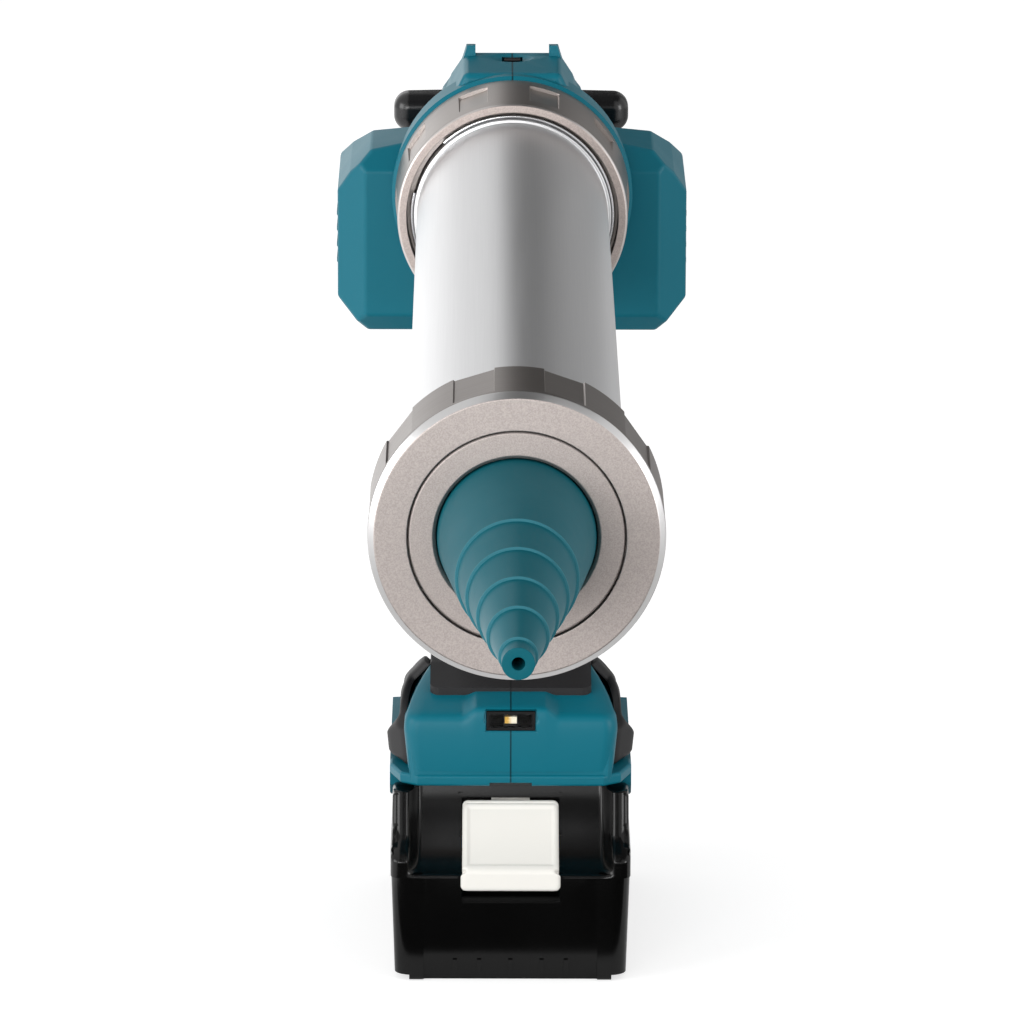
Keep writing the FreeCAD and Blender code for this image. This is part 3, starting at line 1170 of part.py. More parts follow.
def make_housing():
    ring_front = nut_back + d.face_gap
    ring_back = d.trunk_front + d.wall
    collar_back = d.trunk_front + d.collar_back
    collar = d.ring_radius - d.ring_step
    flange_profile = [
        (ring_front, 0.0), (ring_front, d.ring_radius - d.flange_edge),
        (ring_front + d.flange_edge, d.ring_radius), (ring_back, d.ring_radius), (ring_back, collar),
        (collar_back - d.flange_edge, collar), (collar_back, collar - d.flange_edge), (collar_back, 0.0),
    ]
    flange = turned("housing_flange", flange_profile, z=d.axis_height)
    wing = rounded("wing", wing_form("wing_block", d.wall * 0), d.wing_round)
    trunk = rounded("trunk", trunk_form("trunk_block", d.wall * 0), d.trunk_round)
    base = rounded("base", base_form("base_block", d.wall * 0), d.base_round / 2)
    grip = grip_form("grip", d.wall * 0, d.grip_foot, d.grip_top)
    skirts = [skirt_form(side) for side in (-1, 1)]
    horns = [horn_form(side) for side in (-1, 1)]
    louvres = vent_louvres(-1) + vent_louvres(1)
    outer = fuse("housing_outer", wing, trunk, base, grip, flange, ridge_form(), lip_form(), *skirts,
                 *horns, *louvres)
    inner_grip = grip_form("grip_room", -d.wall, d.grip_foot - d.wall, d.grip_top + d.wall * 2)
    posts, screw_holes = make_case_screws()
    collar_room = rod_along("collar_room", collar - d.wall, d.collar_back - d.wall * 2,
                            (0.0, ring_back, d.axis_height), "Y")
    rooms = fuse("housing_rooms", wing_form("wing_room", d.wall), trunk_form("trunk_room", d.wall),
                 base_form("base_room", d.wall), inner_grip, collar_room)
    hollow = cut("housing_hollow", rooms, *posts)
    neck = rod_along("neck_hole", d.nose_neck_radius + d.seat_gap, d.nut_length,
                     (0.0, nut_back - d.overrun, d.axis_height), "Y")
    rod_half = d.rod_width / 2 + d.run_gap * 3
    rod_rise = d.rod_height / 2 + d.run_gap * 3
    rod_hole = box("rod_hole", (-rod_half, d.trunk_heel, d.axis_height - rod_rise),
                   (rod_half, d.trunk_back + d.overrun, d.axis_height + rod_rise))
    trigger_side = d.trigger_half + d.run_gap
    trigger_hole = box("trigger_hole",
                       (-trigger_side, d.trigger_front - d.overrun, d.trigger_floor - d.run_gap),
                       (trigger_side, d.grip_place, d.trigger_top + d.run_gap))
    lock_hole = rod_along("lock_hole", d.lock_radius + d.run_gap, d.lock_half * 4,
                          (d.lock_half * -2, d.lock_place, d.lock_height), "X")
    dial_hole = rod_along("dial_hole", d.dial_radius + d.run_gap * 2, d.dial_slot,
                          (d.dial_slot / -2, d.dial_place, d.dial_height), "X")
    dish = doc.addObject("Part::Sphere", "dial_dish")
    bind(dish, "Radius", d.dish_radius)
    place(dish, 0.0, d.dial_place, d.trunk_top + d.dish_radius - d.dish_depth)
    led_side = d.led_half + d.face_gap
    led_top = d.led_floor + d.led_height + d.face_gap
    led_hole = box("led_hole", (-led_side, d.base_front - d.overrun, d.led_floor - d.face_gap),
                   (led_side, d.base_front + d.led_depth + d.overrun, led_top))
    block_side = d.block_half + d.face_gap
    block_hole = box("block_hole", (-block_side, d.block_front - d.face_gap, d.base_floor - d.overrun),
                     (block_side, d.block_front + d.block_length + d.face_gap, d.base_floor + d.wall * 2))
    hook_side = d.hook_half + d.run_gap * 2
    hook_room = box("hook_room", (-hook_side, d.base_front - d.overrun, d.base_floor - d.overrun),
                    (hook_side, d.hook_front + d.hook_depth * 3, d.base_floor + d.wall / 2))
    vents = vent_slots(-1) + vent_slots(1)
    shell = cut("housing_shell", outer, hollow, neck, rod_hole, trigger_hole, lock_hole, dial_hole,
                dish, led_hole, block_hole, hook_room, *vents, *screw_holes)
    reach = d.wing_half_width + d.overrun
    for name, low, high in (("housing_left", -reach, 0.0), ("housing_right", 0.0, reach)):
        half = box(f"{name}_half", (low, d.base_front - d.overrun, 0.0),
                   (high, d.trunk_back + d.overrun, d.trunk_top * 2))
        keep(name, common(name, shell, half))
    return base, grip


base_solid, grip_solid = make_housing()

# Elastomer over the grip and on the foot's sides

def make_pads():
    """Sleeve round the grip with an apron over the base, and a bumper on the base, each left and right."""
    sleeve = grip_form("sleeve", d.pad_thick, d.grip_foot + d.wall, d.pad_top)
    skin = base_form("apron_skin", -d.apron_thick)
    plate = box("apron_plate", (-d.apron_half, d.apron_front, d.led_floor),
                (d.apron_half, d.grip_place + d.apron_back, d.base_top + d.overrun))
    corners = rounded("apron_corners", plate, d.apron_round, runs_along(Vector(0, 0, 1)))
    apron = common("apron", skin, corners)
    clear_base = base_form("sleeve_base_room", -d.seat_gap)
    clear_grip = grip_form("sleeve_grip_room", d.seat_gap, d.grip_foot, d.grip_top)
    pad = cut("grip_sleeve", fuse("sleeve_blank", sleeve, apron), clear_base, clear_grip)
    reach = d.grip_depth * 3
    for name, low, high in (("grip_pad_left", -reach, 0.0), ("grip_pad_right", 0.0, reach)):
        half = box(f"{name}_half", (low, -reach, d.base_floor), (high, reach, d.pad_top * 2))
        keep(name, common(name, pad, half))
    floor = d.bumper_floor
    rise = d.bumper_top - floor
    depth = d.bumper_back - d.bumper_front
    profile = [
        (d.bumper_front + depth * share, floor + rise * lift) for share, lift in BUMPER_SIDE_SHARES
    ]
    inner = d.base_half_width - d.base_round * 2
    reach = d.bumper_reach - inner
    for name, side in (("bumper_left", -1), ("bumper_right", 1)):
        outline = [
            ((inner + reach * share) * side, floor + rise * lift) for share, lift in BUMPER_FRONT_SHARES
        ]
        facing = prism(f"{name}_facing", "XZ_Plane", outline, depth, -d.bumper_back)
        along = prism(f"{name}_profile", "YZ_Plane", profile, d.bumper_reach * 2 + d.overrun, middle=True)
        lobe = rounded(f"{name}_lobe", common(f"{name}_raw", facing, along), d.bumper_round / 2)
        start = d.apron_half + d.seat_gap
        low = start if side > 0 else -d.bumper_reach
        high = d.bumper_reach if side > 0 else -start
        band_room = box(f"{name}_band_room", (low, d.bumper_front + d.bumper_round, floor + d.bumper_round),
                        (high, d.bumper_back - d.bumper_round, d.base_top + d.overrun))
        cover = base_form(f"{name}_cover", -d.pad_thick)
        band = common(f"{name}_band", cover, band_room)
        low = 0.0 if side > 0 else -d.skirt_outer - d.seat_gap
        high = d.skirt_outer + d.seat_gap if side > 0 else 0.0
        skirt_room = box(f"{name}_skirt_room", (low, d.bumper_front - d.overrun, d.skirt_floor),
                         (high, d.bumper_back + d.overrun, d.base_floor + d.lip_height + d.seat_gap))
        base_room = base_form(f"{name}_base_room", -d.seat_gap)
        keep(name, cut(name, fuse(f"{name}_blank", lobe, band), skirt_room, base_room))


# Corners of a bumper in side view and in front view, as shares of its length, reach and height
BUMPER_SIDE_SHARES = (
    (0.0, 0.42), (0.045, 0.0), (1.0, 0.0), (1.0, 0.17), (0.09, 1.0), (0.035, 0.9),
)
BUMPER_FRONT_SHARES = (
    (0.31, 1.0), (0.56, 1.0), (0.93, 0.58), (1.0, 0.22), (0.9, 0.0), (0.31, 0.0),
)
make_pads()

# Controls: trigger, switch, lock button, speed dial, lamp and boards

def make_trigger():
    """Finger lever with a dished front, on a stem that enters the switch."""
    back = d.trigger_back
    top = d.trigger_top
    floor = d.trigger_floor
    middle = (top + floor) / 2
    dish = d.trigger_dish
    front = d.trigger_front
    profile = [
        (back, top), (front + dish, top), (front, top - dish), (front + dish, middle),
        (front + dish / 2, floor + dish), (front + dish * 2, floor), (back, floor),
    ]
    blade = prism("trigger_blade", "YZ_Plane", profile, d.trigger_half * 2, middle=True)
    smooth = rounded("trigger_smooth", blade, d.trigger_round,
                     lambda edge: edge.BoundBox.YMax < back - SMALL_SHARE)
    stem_end = d.switch_front + d.trigger_stem * 2
    stem = rod_along("trigger_stem", d.trigger_stem, stem_end - back + d.trigger_stem,
                     (0.0, back - d.trigger_stem, middle), "Y")
    keep("trigger", fuse("trigger", smooth, stem))
    body = box("switch_case", (-d.switch_half, d.switch_front, floor), (d.switch_half, d.switch_back, top))
    bore_depth = d.trigger_stem * 3 + d.trigger_travel + d.overrun
    bore = rod_along("switch_bore", d.trigger_stem + d.run_gap, bore_depth,
                     (0.0, d.switch_front - d.overrun, middle), "Y")
    smooth_case = rounded("switch_smooth", body, d.trigger_round / 2, runs_along(Vector(0, 1, 0)))
    keep("switch_unit", cut("switch_unit", smooth_case, bore))


def make_lock():
    """Cross bolt above the trigger, waisted in the middle."""
    waist = d.lock_half / 3
    edge = d.lock_radius - d.lock_waist
    profile = [
        (-d.lock_half, 0.0), (-d.lock_half, d.lock_waist), (edge - d.lock_half, d.lock_radius),
        (-waist, d.lock_radius), (edge - waist, d.lock_waist), (waist - edge, d.lock_waist),
        (waist, d.lock_radius), (d.lock_half - edge, d.lock_radius), (d.lock_half, d.lock_waist),
        (d.lock_half, 0.0),
    ]
    keep("lock_button", turned("lock_button", profile, y=d.lock_place, z=d.lock_height, along="X"))


def make_dial():
    """Thumb wheel with a notched rim on its pin, and the board that carries it."""
    height = d.dial_height
    body = new_body("speed_dial", 0.0, d.dial_place, height)
    rim = new_sketch(body, "YZ_Plane")
    draw_circle(rim, 0.0, 0.0, d.dial_radius)
    add_pad(body, rim, d.dial_width, middle=True)
    notch = new_sketch(body, "YZ_Plane")
    low = d.dial_radius - d.dial_notch
    high = d.dial_radius + d.overrun
    rise = d.dial_notch
    draw_outline(notch, [(low, -rise), (high, -rise), (high, rise), (low, rise)])
    groove = add_pocket(body, notch, d.dial_width * 2, middle=True)
    add_polar(body, groove, notch, d.dial_notches)
    pin = new_sketch(body, "YZ_Plane")
    draw_circle(pin, 0.0, 0.0, d.dial_pin_radius)
    add_pad(body, pin, d.dial_pin * 2, middle=True)
    keep("speed_dial", body)
    half = d.dial_pin + d.dial_board_thick
    floor = height - d.dial_radius - d.run_gap * 2
    plate = box("dial_plate", (-half, d.dial_place - d.dial_board_length / 2, d.frame_top),
                (half, d.dial_place + d.dial_board_length / 2, floor))
    ears = []
    ear_half = d.dial_pin_radius * 2
    for side in (-1, 1):
        inner = d.dial_width / 2 + d.run_gap * 4
        low = inner if side > 0 else -inner - d.dial_board_thick
        ears.append(box(f"dial_ear_{side}", (low, d.dial_place - ear_half, floor),
                        (low + d.dial_board_thick, d.dial_place + ear_half, height + ear_half)))
    hole = rod_along("dial_pin_hole", d.dial_pin_radius + d.shaft_gap, half * 4,
                     (half * -2, d.dial_place, height), "X")
    keep("dial_board", cut("dial_board", fuse("dial_board_blank", plate, *ears), hole))


def make_lamp():
    """Lamp in the nose: dark holder, the light chip in its middle and a clear lens in front."""
    front = d.base_front
    back = front + d.led_depth
    top = d.led_floor + d.led_height
    middle = d.led_floor + d.led_height / 2
    case = box("lamp_case", (-d.led_half, front, d.led_floor), (d.led_half, back, top))
    rim = d.led_chip_height / 2
    lens_low = (rim - d.led_half, front, d.led_floor + rim)
    lens_high = (d.led_half - rim, front + d.lens_thick, top - rim)
    room = box("lamp_lens_room", (lens_low[0], front - d.overrun, lens_low[2]), lens_high)
    chip_low = (-d.led_chip, front + d.lens_thick + d.face_gap, middle - d.led_chip_height)
    chip_high = (d.led_chip, front + d.led_depth / 2, middle + d.led_chip_height)
    chip_room = box("lamp_chip_room", (chip_low[0], front, chip_low[2]), chip_high)
    keep("led_holder", cut("led_holder", case, room, chip_room))
    keep("led_chip", box("led_chip", chip_low, chip_high))
    keep("led_lens", box("led_lens", lens_low, lens_high))


def make_electrics():
    """Control board, terminal block and its two blades."""
    board = box("board_plate", (-d.board_half, d.board_front, d.board_height),
                (d.board_half, d.board_back, d.board_height + d.board_thick))
    sink_half = d.board_half / 2
    fins = []
    top = d.board_height + d.board_thick
    half_fin = d.board_thick / 2
    for k in range(int(d.fin_count)):
        x = sink_half * (2 * k / (d.fin_count - 1) - 1)
        fins.append(box(f"board_fin_{k}", (x - half_fin, d.board_front + d.wall, top),
                        (x + half_fin, d.grip_place, top + d.block_rise)))
    keep("control_board", fuse("control_board", board, *fins))
    floor = d.base_floor + d.face_gap
    block = box("terminal_case", (-d.block_half, d.block_front, floor),
                (d.block_half, d.block_front + d.block_length, d.board_height))
    slots = []
    blades = []
    start = d.block_front + d.block_length - d.blade_length - d.wall
    for k, x in enumerate((-d.blade_place, d.blade_place)):
        low = (x - d.blade_thick / 2, start, d.base_floor - d.blade_drop)
        high = (x + d.blade_thick / 2, start + d.blade_length, floor + d.block_rise / 2)
        blades.append(box(f"blade_{k}", low, high))
        slots.append(box(f"blade_slot_{k}", (low[0] - d.seat_gap, low[1] - d.seat_gap, floor - d.overrun),
                         (high[0] + d.seat_gap, high[1] + d.seat_gap, high[2] + d.seat_gap)))
    keep("terminal_block", cut("terminal_block", block, *slots))
    keep("terminal_blades", fuse("terminal_blades", *blades))


make_trigger()
make_lock()
make_dial()
make_lamp()
make_electrics()

# Battery: tray and cover, cells, contacts and the release button

# Points along the hollow that the button follows, and where its well ends, as shares of the arc
BUTTON_ARC_SHARES = (0.3, 0.6, 0.845)
WELL_END_SHARE = 0.871
# Places of the ribs under the battery's front, as shares of the half width of the chamfer there
CHIN_RIB_SHARES = (-0.64, -0.36, 0.0, 0.36, 0.64)


def scoop_arc():
    """Centre and radius of the hollow in the battery's front, and the angles of its ends."""
    start = Vector(0, battery_front, d.scoop_floor)
    end = Vector(0, d.scoop_back, d.deck_top)
    chord = end - start
    radius = chord.Length ** 2 / (8 * d.scoop_sag) + d.scoop_sag / 2
    inward = Vector(0, -chord.z, chord.y).normalize()
    centre = (start + end) * 0.5 + inward * (radius - d.scoop_sag)
    angles = [math.atan2(point.z - centre.z, point.y - centre.y) for point in (start, end)]
    return centre, radius, angles


def arc_point(share, depth):
    """Point of the hollow at a share of its arc, sunk below its surface by a depth."""
    centre, radius, (first, last) = scoop_arc()
    angle = first + (last - first) * share
    reach = radius + depth
    return centre.y + reach * math.cos(angle), centre.z + reach * math.sin(angle)


def strip(name, half_width, outer, inner):
    """A band across the battery between two rows of points, outer side first."""
    points = [Vector(-half_width, y, z) for y, z in outer + inner[::-1]]
    blank = doc.addObject("Part::Feature", name)
    blank.Shape = Part.Face(Part.makePolygon(points + points[:1])).extrude(Vector(half_width * 2, 0, 0))
    return blank


def is_end_corner(edge, ends):
    """Test for the four short edges through the button's thickness at its lower and upper ends."""
    bounds = edge.BoundBox
    touches = min(abs(bounds.ZMin - ends[0]), abs(bounds.ZMax - ends[1])) < d.face_gap
    return touches and bounds.XLength < d.face_gap and bounds.ZLength < d.button_thick


def is_button_rim(edge):
    """Test for the edges round the button's outer face."""
    middle = edge.valueAt((edge.FirstParameter + edge.LastParameter) / 2)
    centre, radius, _ = scoop_arc()
    reach = math.hypot(middle.y - centre.y, middle.z - centre.z)
    proud = battery_front - d.button_proud
    return reach < radius or middle.y < proud + d.face_gap


def make_button():
    """Release button that follows the hollow, with its latch hook; and the well that it sinks into."""
    proud = battery_front - d.button_proud
    outer = [(proud, d.button_foot), (proud, d.scoop_floor)]
    outer += [arc_point(share, -d.button_proud) for share in BUTTON_ARC_SHARES]
    inner = [(battery_front + d.button_thick, d.button_foot)]
    inner += [(battery_front + d.button_thick, d.scoop_floor - d.button_thick / 2)]
    inner += [arc_point(share, d.button_thick) for share in BUTTON_ARC_SHARES]
    face = strip("button_face", d.button_half, outer, inner)
    ends = (min(z for y, z in outer), max(z for y, z in outer))
    corners = rounded("button_corners", face, d.button_corner, lambda edge: is_end_corner(edge, ends))
    smooth = rounded("button_smooth", corners, d.button_round, is_button_rim)
    arm_floor = d.deck_top - d.hook_depth * 2
    stem = box("button_stem", (-d.hook_half, d.hook_front, arm_floor),
               (d.hook_half, d.hook_front + d.hook_depth, d.deck_top + d.hook_rise))
    arm = box("button_arm", (-d.hook_half, d.hook_front - d.hook_depth, arm_floor),
              (d.hook_half, d.hook_front + d.hook_depth, arm_floor + d.hook_depth / 2))
    keep("battery_button", fuse("battery_button", smooth, stem, arm))
    drop = d.button_travel + d.run_gap
    over = -d.button_proud - d.overrun
    well_outer = [(battery_front + over, d.button_foot - drop), (battery_front + over, d.scoop_floor)]
    well_outer += [arc_point(share, over) for share in BUTTON_ARC_SHARES[:-1]]
    well_outer += [arc_point(WELL_END_SHARE, over)]
    well_inner = [(battery_front + d.button_thick + d.run_gap, d.button_foot - drop)]
    well_inner += [(battery_front + d.button_thick + d.run_gap, d.scoop_floor - drop - d.button_thick)]
    well_inner += [arc_point(share, d.button_thick + drop) for share in BUTTON_ARC_SHARES[:-1]]
    well_inner += [arc_point(WELL_END_SHARE, d.button_thick + drop)]
    well = strip("button_well", d.button_half + d.run_gap, well_outer, well_inner)
    hook_side = d.hook_half + d.run_gap
    back = d.hook_front + d.hook_depth + d.run_gap
    slot = box("hook_slot", (-hook_side, d.hook_front - d.run_gap, arm_floor - drop),
               (hook_side, back, d.deck_top + d.overrun))
    arm_slot = box("arm_slot", (-hook_side, d.hook_front - d.hook_depth * 2, arm_floor - drop),
                   (hook_side, back, arm_floor + d.hook_depth / 2 + d.run_gap))
    return [well, slot, arm_slot]


def battery_block():
    """Whole battery outside: drafted tray, deck with rail grooves, side pillars and the hollow front."""
    foot = half_length - d.tray_draft
    top = d.battery_shoulder
    front_outline = mirrored_outline([(d.tray_half, top), (d.tray_foot_half, 0.0)])
    facing = prism("battery_facing", "XZ_Plane", front_outline, d.battery_length + d.overrun,
                   -half_length - d.overrun)
    along = prism("battery_profile", "YZ_Plane", mirrored_outline([(half_length, top), (foot, 0.0)]),
                  d.tray_half * 2 + d.overrun, middle=True)
    tub = common("battery_tub", facing, along)
    upright = rounded("battery_upright", tub, d.tray_round,
                      lambda edge: edge.BoundBox.ZLength > d.tray_seam)
    tub_round = rounded("battery_tub_round", upright, d.tray_edge,
                        lambda edge: edge.BoundBox.ZLength < d.tray_edge)
    wide = d.tray_half + d.overrun
    step = box("battery_step", (-wide, battery_front - d.overrun, d.tray_seam + d.step_rise),
               (wide, battery_front + d.step_depth, d.battery_shoulder + d.overrun))
    lean = d.tray_draft * (1 - d.chin_height / top)
    chin_front = battery_front + lean
    wedge = prism("chin_wedge", "YZ_Plane", [
        (chin_front - d.overrun, d.chin_height), (chin_front, d.chin_height),
        (chin_front + d.chin_depth, 0.0), (chin_front + d.chin_depth, -d.overrun),
        (chin_front - d.overrun, -d.overrun),
    ], d.chin_half * 2, middle=True)
    ribs = []
    for k, share in enumerate(CHIN_RIB_SHARES):
        x = d.chin_half * share
        ribs.append(box(f"chin_rib_{k}", (x - d.chin_rib / 2, chin_front, d.foot_rise),
                        (x + d.chin_rib / 2, chin_front + d.chin_depth, d.chin_height - d.foot_rise)))
    body = cut("battery_body", tub_round, step, cut("chin_tool", wedge, *ribs))
    deck_back = half_length - d.tray_wall
    deck = box("battery_deck", (-d.deck_half, d.deck_front, d.battery_shoulder - d.tray_wall),
               (d.deck_half, deck_back, d.deck_top))
    smooth = rounded("battery_deck_smooth", deck, d.deck_round)
    pillar_front = battery_front + d.pillar_lead
    pillar_floor = d.tray_seam - d.step_rise
    block_top = d.battery_shoulder + d.pillar_block
    pillar_profile = [
        (pillar_front, pillar_floor), (pillar_front, block_top - d.pillar_block),
        (pillar_front + d.pillar_block, block_top),
        (pillar_front + d.pillar_neck, block_top + d.pillar_end),
        (battery_front + d.pillar_brow, d.pillar_top), (d.pillar_back, d.pillar_top),
        (d.pillar_back, pillar_floor),
    ]
    pillars = []
    grooves = []
    for side in (-1, 1):
        thick = d.pillar_outer - d.pillar_inner
        start = d.pillar_inner if side > 0 else -d.pillar_outer
        blank = prism(f"pillar_blank_{side}", "YZ_Plane", pillar_profile, thick, start)
        pillars.append(rounded(f"pillar_{side}", blank, d.pillar_round))
        inner = d.skirt_inner - d.rail_reach - d.run_gap * 2
        low_x = inner if side > 0 else -d.deck_half - d.overrun
        high_x = d.deck_half + d.overrun if side > 0 else -inner
        room = d.run_gap * 2
        grooves.append(box(f"rail_groove_{side}", (low_x, d.pillar_back + d.run_gap, d.rail_floor - room),
                           (high_x, half_length + d.overrun, d.rail_floor + d.rail_height + room)))
    centre, radius, _ = scoop_arc()
    drum = rod_along("battery_drum", d.scoop_half, d.scoop_half * 2,
                     (-d.scoop_half, centre.y, centre.z), "X")
    drum.setExpression("Radius", None)
    drum.Radius = radius
    hollow = rounded("battery_hollow", drum, d.scoop_round, lambda edge: edge.BoundBox.XLength < d.face_gap)
    feet = []
    for side in (-1, 1):
        low_x = d.foot_half if side > 0 else -d.tray_half - d.overrun
        high_x = d.tray_half + d.overrun if side > 0 else -d.foot_half
        feet.append(box(f"foot_relief_{side}", (low_x, battery_front - d.overrun, -d.overrun),
                        (high_x, half_length + d.overrun, d.foot_rise)))
    blank = fuse("battery_blank", body, smooth, *pillars)
    return cut("battery_outer", blank, hollow, *grooves, *feet)


def make_battery():
    cell_floor = d.cell_floor
    upper = cell_floor + d.cell_pitch + d.cell_radius
    columns = int((d.battery_length - d.cell_end - d.cell_start) / d.cell_pitch)
    cell_shift = half_length - d.cell_end - d.cell_pitch * columns / 2
    cell_back = cell_shift + d.cell_pitch * columns / 2 + d.run_gap
    room_half = d.cell_length / 2 + d.tray_wall
    low_room = box("cell_room_low", (-room_half, battery_front + d.tray_wall * 5, cell_floor - d.run_gap),
                   (room_half, cell_back, upper))
    cell_front = cell_shift - d.cell_pitch * columns / 2 - d.run_gap
    high_room = box("cell_room_high", (-room_half, cell_front, upper - d.run_gap),
                    (room_half, cell_back, cell_floor + d.cell_pitch * d.cell_rows + d.run_gap))
    slots = []
    contacts = []
    slot_start = d.block_front + d.block_length - d.blade_length - d.wall - d.run_gap * 4
    for k, x in enumerate((-d.blade_place, d.blade_place)):
        half = d.slot_width / 2
        floor = d.deck_top - d.slot_depth
        slots.append(box(f"contact_slot_{k}", (x - half, slot_start, floor),
                         (x + half, half_length + d.overrun, d.deck_top + d.overrun)))
        contacts.append(box(f"contact_{k}", (x + half - d.contact_thick, slot_start, floor),
                            (x + half, slot_start + d.blade_length, d.deck_top - d.contact_thick)))
    shell = cut("battery_shell", battery_block(), low_room, high_room, *slots, *make_button())
    reach = half_length * 2
    layers = (("battery_tray", d.overrun * -1, d.tray_seam), ("battery_cover", d.tray_seam, d.deck_top * 2))
    for name, floor, top in layers:
        slab = box(f"{name}_slab", (-reach, -reach, floor), (reach, reach, top))
        keep(name, common(name, shell, slab))
    keep("battery_contacts", fuse("battery_contacts", *contacts))
    cells = []
    straps = []
    for column in range(columns):
        y = cell_shift + d.cell_pitch * (column - (columns - 1) / 2)
        for row in range(int(d.cell_rows)):
            z = cell_floor + d.cell_radius + d.cell_pitch * row
            cells.append(rod_along(f"cell_{column}_{row}", d.cell_radius, d.cell_length,
                                   (d.cell_length / -2, y, z), "X"))
        for side in (-1, 1):
            x = d.cell_length / 2 if side > 0 else d.cell_length / -2 - d.strap_thick
            half = d.strap_width / 2
            low = cell_floor + d.cell_radius / 2
            straps.append(box(f"strap_{column}_{side}", (x, y - half, low),
                              (x + d.strap_thick, y + half, low + d.cell_pitch + d.cell_radius)))
    keep("battery_cells", fuse("battery_cells", *cells))
    keep("cell_straps", fuse("cell_straps", *straps))


make_battery()

# Checks and export

doc.recompute()
failed = [item.Name for item in doc.Objects if "Invalid" in item.State or "Error" in item.State]
for name, piece in parts.items():
    if piece.Shape.isNull() or not piece.Shape.isValid() or not piece.Shape.Solids:
        failed.append(name)
if failed:
    raise RuntimeError(f"these did not build: {failed}")
os.makedirs("parts", exist_ok=True)
for name, piece in parts.items():
    piece.Shape.exportStep(f"parts/{name}.step")
print(f"{len(parts)} sub-parts written")
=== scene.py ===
# %% [markdown]
# # A cordless caulking tool, dressed for its picture
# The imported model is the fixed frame: every piece below is placed in its metres and rides on one of its
# bodies. The nozzle points along -Y, towards the camera, +Z is up and the tool stands on its battery.
# The rings of the barrel, the rubber on the foot and the fronts of foot, battery and button are surfaces
# worked out with numpy, because facets show their corners in a highlight. All other pieces are smoothly
# shaded copies of the CAD shapes, a few of them drawn back to make room for those fronts.

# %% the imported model
import json
import math

import bpy
import numpy as np
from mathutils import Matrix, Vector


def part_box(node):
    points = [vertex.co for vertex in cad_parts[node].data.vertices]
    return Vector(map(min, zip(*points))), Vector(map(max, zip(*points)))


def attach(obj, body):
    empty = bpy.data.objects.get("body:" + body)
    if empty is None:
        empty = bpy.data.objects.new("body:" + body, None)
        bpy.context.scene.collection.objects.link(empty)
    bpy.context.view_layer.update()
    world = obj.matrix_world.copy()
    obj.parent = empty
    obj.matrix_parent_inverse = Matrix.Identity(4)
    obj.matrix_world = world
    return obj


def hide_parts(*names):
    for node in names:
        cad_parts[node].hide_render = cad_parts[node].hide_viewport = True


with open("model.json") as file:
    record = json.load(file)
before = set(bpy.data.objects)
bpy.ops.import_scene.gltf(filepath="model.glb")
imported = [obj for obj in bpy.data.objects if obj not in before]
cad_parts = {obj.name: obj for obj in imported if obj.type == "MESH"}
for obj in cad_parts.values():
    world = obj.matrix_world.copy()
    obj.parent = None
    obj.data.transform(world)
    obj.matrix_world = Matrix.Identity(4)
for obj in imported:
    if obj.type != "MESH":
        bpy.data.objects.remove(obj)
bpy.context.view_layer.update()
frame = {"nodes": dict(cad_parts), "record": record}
nodes = frame["nodes"]
slot_of = {part["node"]: part["material_slot"] for part in frame["record"]["subparts"]}
body_of = {node: body for body, group in frame["record"]["behaviour"]["bodies"].items() for node in group}
MM = 0.001
tube_low, tube_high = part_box("barrel_tube")
AXIS = (tube_low.z + tube_high.z) / 2 / MM

# %% [markdown]
# ## Camera
# The picture was taken with a long lens from the front and a little above. Its focal length in pixels and
# its place come from the way the round rings of the barrel shrink with distance: the front cap is the
# larger ring, the nut behind it the smaller, and both have a known size. A constraint could aim the camera,
# but a matrix written out from three unit vectors also holds the small roll of the picture.

# %% camera
PICTURE_PIXELS = 1024
FOCAL_PIXELS = 7900.0
SENSOR = 36.0
FAR_CLIP = 20.0
CAMERA_PLACE = (-0.00823, -2.40185, 0.76604)
CAMERA_PITCH = math.radians(14.7)
CAMERA_YAW = math.radians(0.204)
CAMERA_ROLL = math.radians(0.169)


def place_camera():
    """Camera matrix from three unit vectors: right, up and backwards, turned by yaw, pitch and roll."""
    ahead = np.array([
        math.sin(CAMERA_YAW) * math.cos(CAMERA_PITCH), math.cos(CAMERA_YAW) * math.cos(CAMERA_PITCH),
        -math.sin(CAMERA_PITCH),
    ])
    right = np.array([math.cos(CAMERA_YAW), -math.sin(CAMERA_YAW), 0.0])
    up = np.cross(right, ahead)
    matrix = np.eye(4)
    matrix[:3, 0] = math.cos(CAMERA_ROLL) * right + math.sin(CAMERA_ROLL) * up
    matrix[:3, 1] = math.cos(CAMERA_ROLL) * up - math.sin(CAMERA_ROLL) * right
    matrix[:3, 2] = -ahead
    matrix[:3, 3] = CAMERA_PLACE
    lens = bpy.data.cameras.new("camera")
    lens.sensor_width = SENSOR
    lens.lens = FOCAL_PIXELS / PICTURE_PIXELS * SENSOR
    lens.clip_end = FAR_CLIP
    camera = bpy.data.objects.new("camera", lens)
    bpy.context.scene.collection.objects.link(camera)
    camera.matrix_world = [list(row) for row in matrix.T]
    bpy.context.scene.camera = camera
    return camera


camera = place_camera()
print(f"lens {camera.data.lens:.1f} mm on a {SENSOR:.0f} mm sensor")

# %% [markdown]
# ## Shader sums
# A finish is a small sum of patterns. The first class wraps a node's socket, so that `1 - mask` or
# `grain * 0.2 + 0.4` adds its Math nodes by itself. `Wiring.node` adds any other kind of node, to a
# material or to the world, and the short methods of `Finish` name the patterns that moulded plastic and
# turned metal need. Nodes could be placed by hand, but a sum written as a sum is easier to read and change.

# %% sockets that add up


